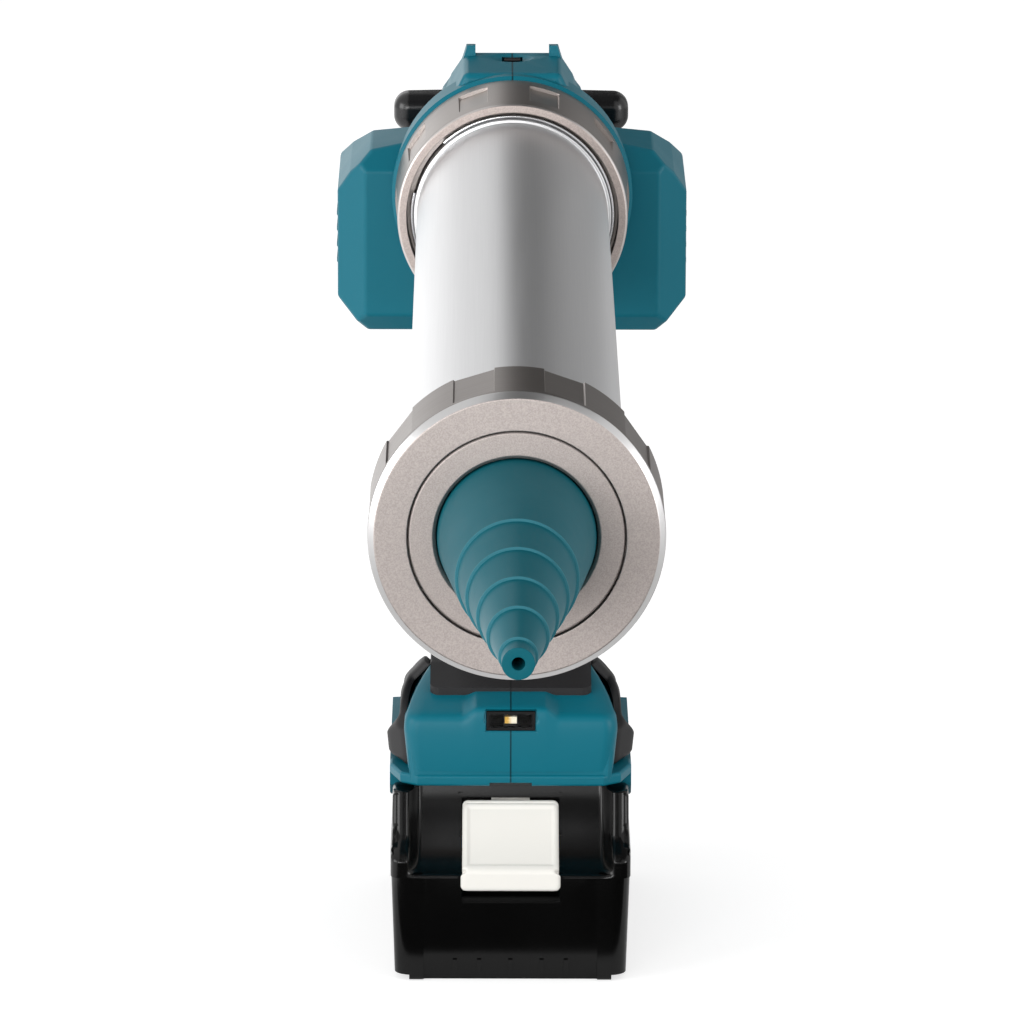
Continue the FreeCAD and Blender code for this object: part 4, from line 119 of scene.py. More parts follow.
class Signal:
    """A node's output that takes part in sums; each operator adds one Math node."""

    def __init__(self, wiring, socket):
        self.wiring = wiring
        self.socket = socket

    def math(self, operation, first, second=0.0):
        return self.wiring.node("ShaderNodeMath", {"operation": operation}, {0: first, 1: second})

    def __add__(self, other):
        return self.math("ADD", self, other)

    __radd__ = __add__

    def __sub__(self, other):
        return self.math("SUBTRACT", self, other)

    def __rsub__(self, other):
        return self.math("SUBTRACT", other, self)

    def __mul__(self, other):
        return self.math("MULTIPLY", self, other)

    __rmul__ = __mul__

    def __abs__(self):
        return self.math("ABSOLUTE", self)

    def or_more(self, other):
        """The larger of two values."""
        return self.math("MAXIMUM", self, other)

    def step(self, start, end):
        """0 below start, 1 above end, smooth between."""
        sockets = {"Value": self, "From Min": start, "From Max": end}
        return self.wiring.node("ShaderNodeMapRange", {"interpolation_type": "SMOOTHSTEP"}, sockets)


class Wiring:
    """A node tree that grows by one method."""

    def __init__(self, tree):
        self.tree = tree

    def node(self, kind, settings, sockets, out=0):
        """Adds a node: its settings first, then a value or a link for each named socket."""
        item = self.tree.nodes.new(kind)
        for key, value in settings.items():
            setattr(item, key, value)
        for key, value in sockets.items():
            self.feed(item.inputs[key], value)
        return Signal(self, item.outputs[out])

    def feed(self, socket, value):
        if isinstance(value, Signal):
            self.tree.links.new(value.socket, socket)
        else:
            socket.default_value = value

    def ray(self, kind):
        """1 where a ray of this kind looks, else 0."""
        return self.node("ShaderNodeLightPath", {}, {}, f"Is {kind} Ray")


print("sockets and node trees ready")

# %% [markdown]
# ## Patterns of a finish
# Real surfaces vary a little everywhere. The patterns are cloud noise, which can be drawn out to hair
# lines, and the plain place along an axis, which marks a line or a border. They stay in object space, so
# that no piece needs to be unwrapped and a pattern runs on from one piece to the next.

# %% finishes


class Finish(Wiring):
    """A material under construction, with the shader at its end; its numbers are constants of the shader."""

    def __init__(self, name, **constants):
        self.material = bpy.data.materials.new(name)
        self.material.use_nodes = True
        super().__init__(self.material.node_tree)
        self.shader = self.tree.nodes["Principled BSDF"]
        self.set(**constants)

    def set(self, **sockets):
        """Gives the shader's sockets a number or links a pattern into them."""
        for name, value in sockets.items():
            self.feed(self.shader.inputs[name.replace("_", " ")], value)

    def place(self):
        return self.node("ShaderNodeTexCoord", {}, {}, "Object")

    def along(self, axis):
        """The place along one axis, in millimetres."""
        return self.node("ShaderNodeSeparateXYZ", {}, {0: self.place()}, axis) * 1000.0

    def noise(self, scale, detail=2.0, rough=0.5, stretch=(1.0, 1.0, 1.0)):
        """Cloud noise of a given number of lumps per metre, from 0 to 1, drawn out along an axis."""
        place = self.node("ShaderNodeMapping", {}, {"Vector": self.place(), "Scale": stretch})
        sockets = {"Vector": place, "Scale": scale, "Detail": detail, "Roughness": rough}
        return self.node("ShaderNodeTexNoise", {}, sockets)

    def mix(self, factor, first, second):
        """Colour between two colours."""
        return self.node("ShaderNodeMix", {"data_type": "RGBA"}, {0: factor, 6: first, 7: second}, 2)

    def bump(self, height, strength, depth):
        """Normal of a relief whose full height is so many millimetres."""
        sockets = {"Strength": strength, "Distance": depth * MM, "Height": height}
        return self.node("ShaderNodeBump", {}, sockets)


def tint(hexcode, level=1.0):
    """Linear colour with full alpha from a screen colour: the sRGB curve undone channel by channel."""
    screen = np.array([int(hexcode[i:i + 2], 16) for i in (0, 2, 4)]) / 255.0
    linear = np.where(screen <= 0.04045, screen / 12.92, ((screen + 0.055) / 1.055) ** 2.4) * level
    return (*linear, 1.0)


print("patterns ready")

# %% [markdown]
# ## Moulded finishes
# Injection-moulded shells carry a fine spark-eroded grain, a little uneven in gloss where the plastic
# flowed. The grain is a bump of a few hundredths of a millimetre. The two halves of the housing meet at
# x = 0, and a dark hairline there is the parting line that shows on the top and on the nose. Each line of
# the table is one call of the same function, so all plastics share one make: after the screen colour come
# roughness, size and depth of the grain in millimetres, spread of shades and width of the parting line.

# %% moulded plastics and rubber
FLOW_LUMPS, FLOW_SHARE, GRAIN_SHARE = 45.0, 0.7, 0.3
GRAIN_RELIEF = 0.5
GLOSS_SPREAD = 0.14
PARTING_CORE, PARTING_COVER, PARTING_SHADE = 0.4, 0.85, 0.08


def moulded(name, colour, rough, grain=0.3, depth=0.02, spread=0.1, parting=0.0, **constants):
    """Moulded surface: grain of a size in millimetres, slow changes of gloss, and a parting line at x = 0."""
    finish = Finish(name, **constants)
    fine = finish.noise(1000.0 / grain, 2.0, 0.6)
    flow = finish.noise(FLOW_LUMPS, 3.0)
    shades = tint(colour, 1.0 + spread), tint(colour, 1.0 - spread)
    base = finish.mix(flow * FLOW_SHARE + fine * GRAIN_SHARE, *shades)
    if parting:
        line = 1 - abs(finish.along("X")).step(parting * PARTING_CORE, parting)
        base = finish.mix(line * PARTING_COVER, base, tint(colour, PARTING_SHADE))
    relief = finish.bump(fine, GRAIN_RELIEF, depth)
    gloss = flow * GLOSS_SPREAD + (rough - GLOSS_SPREAD / 2)
    finish.set(Base_Color=base, Roughness=gloss, Normal=relief)
    return finish.material


FINISHES = {
    "shell_plastic": moulded("shell_teal", "046475", 0.4, 0.32, 0.03, 0.05, 0.34, Specular_IOR_Level=0.2),
    "grip_rubber": moulded("grip_rubber", "242324", 0.55, 0.5, 0.05, 0.12, 0.25, Specular_IOR_Level=0.25),
    "handle_plastic": moulded("handle_black", "08080a", 0.26, 0.5, 0.008, 0.1, Specular_IOR_Level=0.5),
    "control_plastic": moulded("control_black", "0e0e0f", 0.4, 0.4, 0.02, 0.12, Specular_IOR_Level=0.25),
    "battery_plastic": moulded("battery_black", "040404", 0.2, 0.6, 0.004, 0.15, Specular_IOR_Level=0.28),
    "button_plastic": moulded("button_cream", "e4e2dc", 0.36, 0.35, 0.01, 0.015, Specular_IOR_Level=0.3),
    "collar_plastic": moulded("collar_black", "19191a", 0.45, 0.4, 0.02),
    "piston_plastic": moulded("piston_black", "222223", 0.5, 0.4, 0.02),
    "board_green": moulded("board_green", "1d5a38", 0.4, 0.9, 0.02, 0.25),
    "cell_metal": moulded("cell_sleeve", "2d5c9a", 0.3, 1.2, 0.01, 0.1),
}
print(f"{len(FINISHES)} moulded finishes")

# %% [markdown]
# ## Nozzle plastic
# The nozzle is a softer, duller plastic than the shell. It is cut back step by step to the width of bead
# that is wanted, and a pale line of painted highlight lies on the rim of each step. The lines could be thin
# rings of their own, but a mask along Y puts them into the colour, where they follow the rims exactly.

# %% nozzle plastic
NOZZLE_STEPS = ((-478.7, 15.74), (-496.4, 13.08), (-514.4, 10.34), (-532.5, 7.81), (-550.5, 4.89))
# Plastic teal, and the pale teal of a painted highlight on the rim of each step.
NOZZLE_TEAL, RIM_HIGHLIGHT_TEAL = "085864", "6aa9b7"
NOZZLE_ROUGH = 0.43
NOZZLE_LUMPS, NOZZLE_RELIEF, NOZZLE_DEPTH = 3300.0, 0.4, 0.012
# Where the painted rim highlights sit behind each rim, their core and edge width, and how much they cover.
HIGHLIGHT_BEHIND, HIGHLIGHT_CORE, HIGHLIGHT_EDGE, HIGHLIGHT_COVER = 0.1, 0.08, 0.26, 0.22


def nozzle_plastic():
    """Softer plastic than the shell, with a pale painted highlight on the rim of each step."""
    finish = Finish("nozzle_teal", Specular_IOR_Level=0.1)
    fine = finish.noise(NOZZLE_LUMPS, 2.0, 0.6)
    flow = finish.noise(FLOW_LUMPS, 3.0)
    y = finish.along("Y")
    # Painted highlight: a pale line just behind the rim of each step.
    rim_highlights = sum((1 - abs(y - (rim + HIGHLIGHT_BEHIND)).step(HIGHLIGHT_CORE, HIGHLIGHT_EDGE) for rim, _ in NOZZLE_STEPS), 0.0)
    base = finish.mix(flow * 0.6 + fine * 0.4, tint(NOZZLE_TEAL, 1.06), tint(NOZZLE_TEAL, 0.94))
    base = finish.mix(rim_highlights * HIGHLIGHT_COVER, base, tint(RIM_HIGHLIGHT_TEAL))
    gloss = flow * GLOSS_SPREAD + (NOZZLE_ROUGH - GLOSS_SPREAD / 2)
    relief = finish.bump(fine, NOZZLE_RELIEF, NOZZLE_DEPTH)
    finish.set(Base_Color=base, Roughness=gloss, Normal=relief)
    return finish.material


FINISHES["nozzle_plastic"] = nozzle_plastic()
print(f"nozzle with {len(NOZZLE_STEPS)} pale rims")

# %% [markdown]
# ## Drawn and cast metals
# The satin tube is drawn, so its grain runs along the barrel: noise stretched along one axis gives hair
# lines. The same function with an even stretch serves cast and plated metal, where the noise stays cloudy.
# After the screen colour come roughness, stretch, lumps per metre and spread of shades.

# %% drawn metals
HAIR_SHARE, CLOUD_SHARE, HAIR_GLOSS = 0.7, 0.3, 0.12
CLOUD_LUMPS = 25.0
EVEN = (1.0, 1.0, 1.0)


def drawn(name, colour, rough, stretch, scale=1500.0, spread=0.05):
    """Metal with hair lines: noise drawn out along one axis changes the gloss and the shade a little."""
    finish = Finish(name, Metallic=1.0)
    hair = finish.noise(scale, 3.0, 0.6, stretch)
    cloud = finish.noise(CLOUD_LUMPS, 2.0)
    shades = tint(colour, 1.0 + spread), tint(colour, 1.0 - spread)
    base = finish.mix(hair * HAIR_SHARE + cloud * CLOUD_SHARE, *shades)
    finish.set(Base_Color=base, Roughness=hair * HAIR_GLOSS + (rough - HAIR_GLOSS / 2))
    return finish.material


FINISHES |= {
    "tube_metal": drawn("tube_satin", "d2d2d3", 0.4, (1.0, 0.006, 1.0), 2600.0, 0.025),
    "rod_steel": drawn("rod_steel", "8f8f92", 0.35, (1.0, 0.02, 1.0)),
    "spring_steel": drawn("spring_bright", "d4d4d6", 0.2, EVEN),
    "gear_steel": drawn("gear_steel", "8d8d90", 0.35, (0.05, 1.0, 1.0)),
    "frame_cast": drawn("frame_cast", "8c8c8e", 0.55, EVEN, 500.0, 0.12),
    "bush_bronze": drawn("bush_bronze", "b08a52", 0.42, EVEN, 900.0, 0.1),
    "motor_steel": drawn("motor_plated", "a5a5a5", 0.3, (0.05, 1.0, 1.0)),
    "screw_steel": drawn("screw_black", "3a3a3c", 0.4, EVEN),
    "contact_metal": drawn("contact_plated", "c9a45c", 0.3, (1.0, 1.0, 0.1)),
    "strap_metal": drawn("strap_plated", "c2beb4", 0.3, (0.1, 1.0, 1.0)),
}
print(f"{len(FINISHES)} finishes with the drawn metals")

# %% [markdown]
# ## Turned metals
# Nut, cap and disc are turned, so their grain runs round the axis: noise that hardly changes across the
# axis gives those rings. The front faces are fine-blasted and look like warm grey sand, and a bright
# chamfer lies between face and side. Three materials per ring could do it, but the border lies at a known
# place along Y, so one material changes there and the ring stays one piece.

# %% turned and blasted metals
CAP_FACE, NUT_FACE = -438.3, -59.0
BORDER_HALF = 0.05
SAND_LUMPS, SAND_DARK, SAND_LIGHT = 2600.0, 0.86, 1.1
RING_LUMPS, RING_STRETCH, RING_DARK, RING_LIGHT = 1800.0, (0.02, 1.0, 0.02), 0.9, 1.1
FACE_ROUGH, SIDE_SMOOTHER, RING_ROUGH = 0.58, 0.3, 0.16
RING_SHARE, TURNED_RELIEF, TURNED_DEPTH = 0.4, 0.35, 0.05


def turned_metal(name, face, face_colour, edge, edge_colour, side_colour):
    """Turned ring: blasted in front of the place called face, bright up to edge behind it, then ringed."""
    finish = Finish(name, Metallic=1.0)
    y = finish.along("Y")
    on_side = y.step(face - BORDER_HALF, face + BORDER_HALF)
    past_edge = y.step(edge - BORDER_HALF, edge + BORDER_HALF)
    sand = finish.noise(SAND_LUMPS, 2.0, 0.7)
    rings = finish.noise(RING_LUMPS, 3.0, 0.6, RING_STRETCH)
    front = finish.mix(sand.step(0.3, 0.7), tint(face_colour, SAND_DARK), tint(face_colour, SAND_LIGHT))
    side = finish.mix(rings, tint(side_colour, RING_DARK), tint(side_colour, RING_LIGHT))
    base = finish.mix(on_side, front, finish.mix(past_edge, tint(edge_colour), side))
    rough = FACE_ROUGH - on_side * SIDE_SMOOTHER + past_edge * (rings * RING_ROUGH)
    height = sand * (1 - on_side) + rings * past_edge * RING_SHARE
    relief = finish.bump(height, TURNED_RELIEF, TURNED_DEPTH)
    finish.set(Base_Color=base, Roughness=rough, Normal=relief)
    return finish.material


FINISHES |= {
    "disc_metal": turned_metal(
        "disc_blasted", CAP_FACE + 5.0, "b0a7a3", CAP_FACE + 6.0, "b0a7a3", "8f8985"),
    "cap_metal": turned_metal(
        "cap_turned", CAP_FACE + 0.12, "b3aaa6", CAP_FACE + 1.75, "c4c3c3", "7b7470"),
    "nut_metal": turned_metal(
        "nut_turned", NUT_FACE + 0.1, "b4a9a4", NUT_FACE + 0.6, "bcb8b6", "97908c"),
}
print(f"{len(FINISHES)} finishes with the turned metals")

# %% [markdown]
# ## The lamp
# In the front of the foot sits a small work lamp: a phosphor chip behind a clear window in a black frame.
# The window is glass that bends light little, so the black frame behind it stays dark. The lamp is off, so
# the chip is a bright, slightly uneven yellow, with a painted glow that turns it pale towards its right side.

# %% lamp finishes
# Phosphor yellow, and the near-white of the painted glow on the chip's right side.
CHIP_YELLOW, CHIP_GLOW = "e8b53c", "fff6dc"
CHIP_YELLOW_TO, CHIP_GLOW_FROM, CHIP_SPECKS = -1.2, 0.6, 0.3
WINDOW_BEND, WINDOW_ROUGH, WINDOW_LUMPS = 1.25, 0.02, 500.0


def lamp_chip():
    """Phosphor, a little uneven, yellow on the left, with a painted glow that turns it pale on the right."""
    finish = Finish("lamp_phosphor", Roughness=0.4)
    speck = finish.noise(3000.0, 2.0)
    # Painted glow: the chip turns from yellow to near white towards its right side.
    pale = finish.along("X").step(CHIP_YELLOW_TO, CHIP_GLOW_FROM)
    factor = pale + (speck - 0.5) * CHIP_SPECKS
    finish.set(Base_Color=finish.mix(factor, tint(CHIP_YELLOW), tint(CHIP_GLOW)))
    return finish.material


def lamp_window():
    """Clear moulded window with a faint waviness."""
    finish = Finish("lamp_window", Transmission_Weight=1.0, IOR=WINDOW_BEND, Roughness=WINDOW_ROUGH)
    wave = finish.noise(WINDOW_LUMPS, 1.0)
    clear = finish.mix(wave, tint("f4f6f8"), tint("ffffff"))
    finish.set(Base_Color=clear, Normal=finish.bump(wave, 0.1, 0.01))
    return finish.material


FINISHES |= {"lamp_chip": lamp_chip(), "lamp_lens": lamp_window()}
print(f"{len(FINISHES)} finishes for {len(set(slot_of.values()))} slots")

# %% [markdown]
# ## From arrays to pieces
# A mesh is two arrays: points, and the three or four corner numbers of each face. `lay_mesh` turns the
# faces outwards, makes the mesh and tells the frame which body it rides on. `lay_piece` also says which CAD
# node the piece stands for, and its weighted normals keep flat faces flat right up to their soft edges.

# %% piece maker
CRISP_ANGLE, SOFT_ANGLE = 28.0, 75.0


def outward(points, faces):
    """Faces turned so that the volume they enclose, a sum of tetrahedra to the origin, is positive."""
    fan = [(points[faces[:, 0]], points[faces[:, k]], points[faces[:, k + 1]])
           for k in range(1, faces.shape[1] - 1)]
    volume = sum(np.einsum("ij,ij->", a, np.cross(b, c)) for a, b, c in fan)
    return faces if volume > 0 else faces[:, ::-1]


def lay_mesh(name, body, slot, points, faces, sharp):
    """A piece of points in metres that rides on a body, sharp only over edges past an angle in degrees."""
    mesh = bpy.data.meshes.new(name)
    mesh.from_pydata(points.tolist(), [], outward(points, faces).tolist())
    mesh.shade_smooth()
    mesh.set_sharp_from_angle(angle=math.radians(sharp))
    mesh.materials.append(FINISHES[slot])
    piece = bpy.data.objects.new(name, mesh)
    bpy.context.scene.collection.objects.link(piece)
    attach(piece, body)
    return piece


def lay_piece(node, points, faces, sharp=CRISP_ANGLE):
    """A piece that stands for a CAD node on its body, with normals weighted by the size of the faces."""
    piece = lay_mesh(f"{node}_skin", body_of[node], slot_of[node], points, faces, sharp)
    even = piece.modifiers.new("even_faces", "WEIGHTED_NORMAL")
    even.keep_sharp = True
    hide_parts(node)


print("piece maker ready")

# %% [markdown]
# ## Grids and profiles
# Every new surface is a grid of points, so the corner numbers of its faces follow from rows and columns
# alone. A profile's corners are softened before it is carried round: a bevel modifier would do that too, but
# later and with less say over where each edge goes.

# %% grids and soft profiles
CORNER_STEPS = 5
CORNER_LIMIT = 0.45


def wrapped_grid(rows, columns):
    """Corner numbers of a grid that closes on itself both ways: cell (i, j) joins rows i and i + 1."""
    i = np.arange(rows)[:, None]
    j = np.arange(columns)[None, :]
    below, right = (i + 1) % rows, (j + 1) % columns
    corners = [i * columns + j, i * columns + right, below * columns + right, below * columns + j]
    return np.stack(corners, axis=-1).reshape(-1, 4)


def softened(profile, radius):
    """Closed profile with each corner replaced by a curve: (1-s)^2 A + 2 s (1-s) P + s^2 C, where A and C
    lie at most `radius` from the corner P along its two sides."""
    corner = np.asarray(profile, dtype=float)
    before, after = np.roll(corner, 1, 0) - corner, np.roll(corner, -1, 0) - corner
    s = np.linspace(0.0, 1.0, CORNER_STEPS)[None, :, None]
    reach = []
    for side in (before, after):
        length = np.linalg.norm(side, axis=1, keepdims=True)
        reach.append(corner + side * np.minimum(radius / length, CORNER_LIMIT))
    first, last = reach[0][:, None, :], reach[1][:, None, :]
    curve = (1 - s) ** 2 * first + 2 * s * (1 - s) * corner[:, None, :] + s ** 2 * last
    return curve.reshape(-1, 2)


print(f"{CORNER_STEPS} points per soft corner")

# %% [markdown]
# ## The turned rings of the barrel
# Tube, collar, cap, disc, nozzle and nut are all lathe work, so each is a closed profile of places along
# the axis and radii, carried round it. The cap and the nut have ten flat grip recesses, which a boolean
# could cut. Here the radius becomes the distance to a flat floor instead, which is the floor's height over
# the cosine of the angle, and the grid stays whole.

# %% surfaces of revolution
RING_POINTS = 240
GRIPS = 10
GRIP_PITCH = 2 * math.pi / GRIPS
GRIP_WALL = 0.006
GRIP_MARGIN = 0.5


def turned_ring(node, profile, soft, recess=None):
    """Point (i, j) lies at radius r_i and angle a_j about the barrel: (r cos a, y, axis + r sin a).
    In a recess r is the floor's height divided by the cosine of the angle from the recess's middle."""
    loop = softened(profile, soft)
    angle = np.linspace(0.0, 2 * math.pi, RING_POINTS, endpoint=False)
    if recess:
        width, floor, start, end, turn = recess
        middle = math.radians(turn) + np.arange(GRIPS) * GRIP_PITCH
        half = math.atan(width / 2 / floor)
        rim = np.array([-half - GRIP_WALL, -half, half, half + GRIP_WALL])
        every = np.concatenate([angle, (middle[:, None] + rim).ravel()])
        angle = np.unique(np.round(np.mod(every, 2 * math.pi), 9))
    y = loop[:, :1] + 0 * angle
    r = loop[:, 1:] + 0 * angle
    if recess:
        offset = np.mod(angle[:, None] - middle + GRIP_PITCH / 2, GRIP_PITCH)[:, 0] - GRIP_PITCH / 2
        inside = (np.abs(offset) <= half + 1e-6) & (y > start) & (y < end) & (r > floor - GRIP_MARGIN)
        r = np.where(inside, np.minimum(r, floor / np.cos(offset)), r)
    points = np.stack([r * np.cos(angle), y, AXIS + r * np.sin(angle)], axis=-1).reshape(-1, 3) * MM
    lay_piece(node, points, wrapped_grid(len(loop), len(angle)))


print(f"{RING_POINTS} points round a ring")

# %% [markdown]
# ## Profiles of the rings
# A profile lists (place along Y, radius) in millimetres. The next number is the softness of its corners,
# and a recess gives width, floor radius, start, end and the turn of the first one in degrees. The nozzle's
# steps come from the same values as its painted rim highlights.

# %% rings
STEP_DEPTH = 0.7
TUBE_FRONT = -432.6
nozzle_steps = [point for y, r in NOZZLE_STEPS for point in ((y, r), (y, r - STEP_DEPTH))]
RINGS = {
    "nozzle": ([
        (-429.5, 26.0), (-432.5, 26.0), (-432.5, 20.5), (CAP_FACE, 20.5), *nozzle_steps, (-557.3, 4.08),
        (-557.3, 1.65), (-547.3, 1.65), (-478.7, 13.0), (CAP_FACE, 18.5), (-429.5, 18.5),
    ], 0.22),
    "retainer_disc": ([
        (-437.2, 20.9), (-438.0, 21.7), (-438.0, 27.6), (-437.6, 28.0), (-435.2, 28.0), (-435.2, 33.8),
        (-432.7, 33.8), (-432.7, 20.9),
    ], 0.25),
    "front_cap": ([
        (CAP_FACE, 28.3), (CAP_FACE, 36.8), (-436.6, 38.5), (-434.9, 38.5), (-434.6, 38.5),
        (-409.3, 38.5), (-409.3, 34.5), (-435.3, 34.5), (-435.3, 28.3),
    ], 0.3, (10.6, 37.6, -434.75, 0.0, 107.0)),
    "barrel_tube": ([
        (TUBE_FRONT, 28.0), (TUBE_FRONT, 29.0), (-58.5, 29.0), (-58.5, 30.0), (-48.3, 30.0), (-48.3, 32.4),
        (-44.8, 32.4), (-44.8, 28.0),
    ], 0.3),
    "tube_collar": ([(TUBE_FRONT, 29.02), (TUBE_FRONT, 34.2), (-412.6, 34.2), (-412.6, 29.02)], 0.6),
    "barrel_nut": ([
        (NUT_FACE, 32.2), (NUT_FACE, 34.4), (-58.4, 35.0), (-53.2, 35.17), (-52.8, 35.18), (-34.2, 35.8),
        (-33.8, 35.81), (-28.0, 36.0), (-28.0, 33.0), (-48.5, 33.0), (-48.5, 30.4), (-53.5, 30.4),
        (-53.5, 32.2),
    ], 0.25, (8.8, 34.7, -53.0, -34.0, 110.0)),
}
for node, ring in RINGS.items():
    turned_ring(node, *ring)
print(f"{len(RINGS)} turned rings")

# %% [markdown]
# ## Curves of a moulding
# Three plain curves shape all the moulded fronts below: an even step from 0 to 1, a ramp that starts
# softly, and the quarter circle of a rounded edge. Each works on whole arrays, so a front is a sum of them.

# %% step, ramp and rounded edge


def smooth(value, start, end):
    """0 at start, 1 at end and an even curve between: t^2 (3 - 2 t)."""
    t = np.clip((value - start) / (end - start), 0.0, 1.0)
    return t * t * (3 - 2 * t)


def soft_ramp(value, softness):
    """0 far below zero, the value itself far above, a hyperbola between: (t + sqrt(t^2 + c^2)) / 2."""
    return (value + np.hypot(value, softness)) / 2


def rounded_edge(distance, radius):
    """How far a rounded edge draws in at a distance from its end: r - sqrt(r^2 - (r - d)^2)."""
    over = np.clip(radius - distance, 0.0, radius)
    return radius - np.sqrt(radius ** 2 - over ** 2)


print("3 curves")

# %% [markdown]
# ## The form of the foot
# The foot that carries the battery is a soft box: upright sides that lean out a little, shoulders that roll
# off, a crowned front that turns into the sloping roof, and a brow over the lamp. Formulas give its half
# width and the depth of its front at any height, and later cells lay a sheet and the rubber on them.

# %% foot form
BASE_FLOOR, BASE_TOP, SHOULDER = 59.0, 88.0, 78.5
TOP_HALF, SIDE_HALF, FOOT_HALF = 24.0, 33.2, 31.2
DROP, DROP_POWER, DROP_FRONT, DROP_REAR, DROP_LIMIT = 0.42, 1.5, -4.0, 32.0, 92.0
ROLL_START, ROLL_RISE, ROLL_IN, ROLL_POWER, ROLL_PROUD = 76.0, 12.5, 9.3, 2.6, 0.3
FOOT_PLANE, FOOT_LOW, FOOT_HIGH, FOOT_ROUND = -43.65, 63.7, 87.5, 4.5
BROW_OUTER, BROW_INNER, BROW_RISE, BROW_STEEPER, BROW_CRISPER = 15.5, 10.5, 2.6, 5.0, 0.5
EAVES, EAVES_SLOPE, EAVES_SOFT = 81.6, 4.85, 1.0
CROWN_ACROSS, CROWN_UP, CROWN_MIDDLE, CROWN_SPAN = 0.45, 0.25, 71.0, 8.0


def rounded_shoulder(x, y, z):
    """Height over the base's floor, less a share that grows outwards and backwards: the shell rolls off
    there and a flat CAD roof doesn't."""
    outwards = np.clip((np.abs(x) - TOP_HALF) / (SIDE_HALF - TOP_HALF), 0.0, 1.0) ** DROP_POWER
    backwards = smooth(y, DROP_FRONT, DROP_REAR)
    lowered = BASE_FLOOR + (z - BASE_FLOOR) * (1 - DROP * outwards * backwards)
    return np.where((z > BASE_FLOOR) & (z < DROP_LIMIT), lowered, z)


def side_wall(z):
    """Half width of the straight side, which leans out from the floor to the shoulder."""
    share = np.clip((z - BASE_FLOOR) / (SHOULDER - BASE_FLOOR), 0.0, 1.0)
    return FOOT_HALF + (SIDE_HALF - FOOT_HALF) * share


def foot_half(z):
    """Half width of the foot's rounded outline: the straight side, then a power curve over the shoulder."""
    roll = ROLL_IN * (np.clip(z - ROLL_START, 0.0, None) / ROLL_RISE) ** ROLL_POWER
    return side_wall(np.minimum(z, ROLL_START)) + ROLL_PROUD - roll


def foot_front(x, z):
    """Depth of the foot's front: a plane with a slight crown that turns into the sloping roof by a soft
    ramp; the brow over the lamp stands higher and steeper. The sides turn back by a quarter circle."""
    brow = smooth(np.abs(x), BROW_OUTER, BROW_INNER)
    rise = z - (EAVES + BROW_RISE * brow)
    roof = (EAVES_SLOPE + BROW_STEEPER * brow) * soft_ramp(rise, EAVES_SOFT - BROW_CRISPER * brow)
    crown = CROWN_ACROSS * (x / SIDE_HALF) ** 2 + CROWN_UP * ((z - CROWN_MIDDLE) / CROWN_SPAN) ** 2
    return FOOT_PLANE + roof + crown + rounded_edge(foot_half(z) - np.abs(x), FOOT_ROUND)


print(f"foot {2 * foot_half(ROLL_START):.1f} mm wide under its shoulders")

# %% [markdown]
# ## The form of the battery front
# The front of the battery is a thumb scoop between two pillars. The scoop is an arc about a centre in front
# of the battery, the pillars lean back above their blocks, and the two blend across a narrow strip. Lofted
# CAD faces would meet in edges there; one formula for the depth keeps the gloss unbroken.

# %% battery front form
FRONT_PLANE, FRONT_FLOOR, FRONT_TOP = -58.95, 33.8, 57.3
SCOOP_PLACE, SCOOP_HEIGHT, SCOOP_RADIUS, SCOOP_SOFT = -67.34, 64.29, 31.0, 1.2
PILLAR_FOOT, PILLAR_KNEE, KNEE_PLACE, PILLAR_LEAN = 38.6, 45.0, -50.2, 0.46
PILLAR_INNER, PILLAR_OUTER = 28.0, 32.6


def battery_front(x, z):
    """Depth of the battery's front: an arc, cut off by the front plane with a soft ramp, between two pillars
    that step back from the plane to a leaning line above their blocks."""
    arc = SCOOP_PLACE + np.sqrt(np.clip(SCOOP_RADIUS ** 2 - (SCOOP_HEIGHT - z) ** 2, 0.0, None))
    scoop = FRONT_PLANE + soft_ramp(arc - FRONT_PLANE, SCOOP_SOFT)
    lean = KNEE_PLACE + PILLAR_LEAN * (z - PILLAR_KNEE)
    pillar = FRONT_PLANE + smooth(z, PILLAR_FOOT, PILLAR_KNEE) * (lean - FRONT_PLANE)
    return scoop + (pillar - scoop) * smooth(np.abs(x), PILLAR_INNER, PILLAR_OUTER)


print(f"scoop {battery_front(0.0, FRONT_TOP) - FRONT_PLANE:.1f} mm deep at its top")

# %% [markdown]
# ## Copies of the other nodes
# All other pieces are copies of their CAD shape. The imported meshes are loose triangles, so equal points are
# merged first; then the rounded edges shade smoothly and only real corners stay sharp. A modifier could
# move the points that must make room, but the formulas above already say how far each one goes.

# %% merged copies


def merged_copy(node):
    """Points of a node rounded to a thousandth of a millimetre, each kept once, and its triangles."""
    mesh = nodes[node].data
    points = np.empty(len(mesh.vertices) * 3)
    mesh.vertices.foreach_get("co", points)
    corner = np.empty(len(mesh.loops), dtype=np.int64)
    mesh.loops.foreach_get("vertex_index", corner)
    once, number = np.unique(np.round(points.reshape(-1, 3), 6), axis=0, return_inverse=True)
    faces = number.reshape(-1)[corner].reshape(-1, 3)
    whole = (faces[:, 0] != faces[:, 1]) & (faces[:, 1] != faces[:, 2]) & (faces[:, 2] != faces[:, 0])
    return once, faces[whole]


def behind(points, hidden, depth, gap):
    """Moves points back to at least a gap behind a front of the given depth, where the front hides them."""
    y = points[:, 1] / MM
    points[:, 1] = np.where(hidden, np.maximum(y, depth + gap), y) * MM


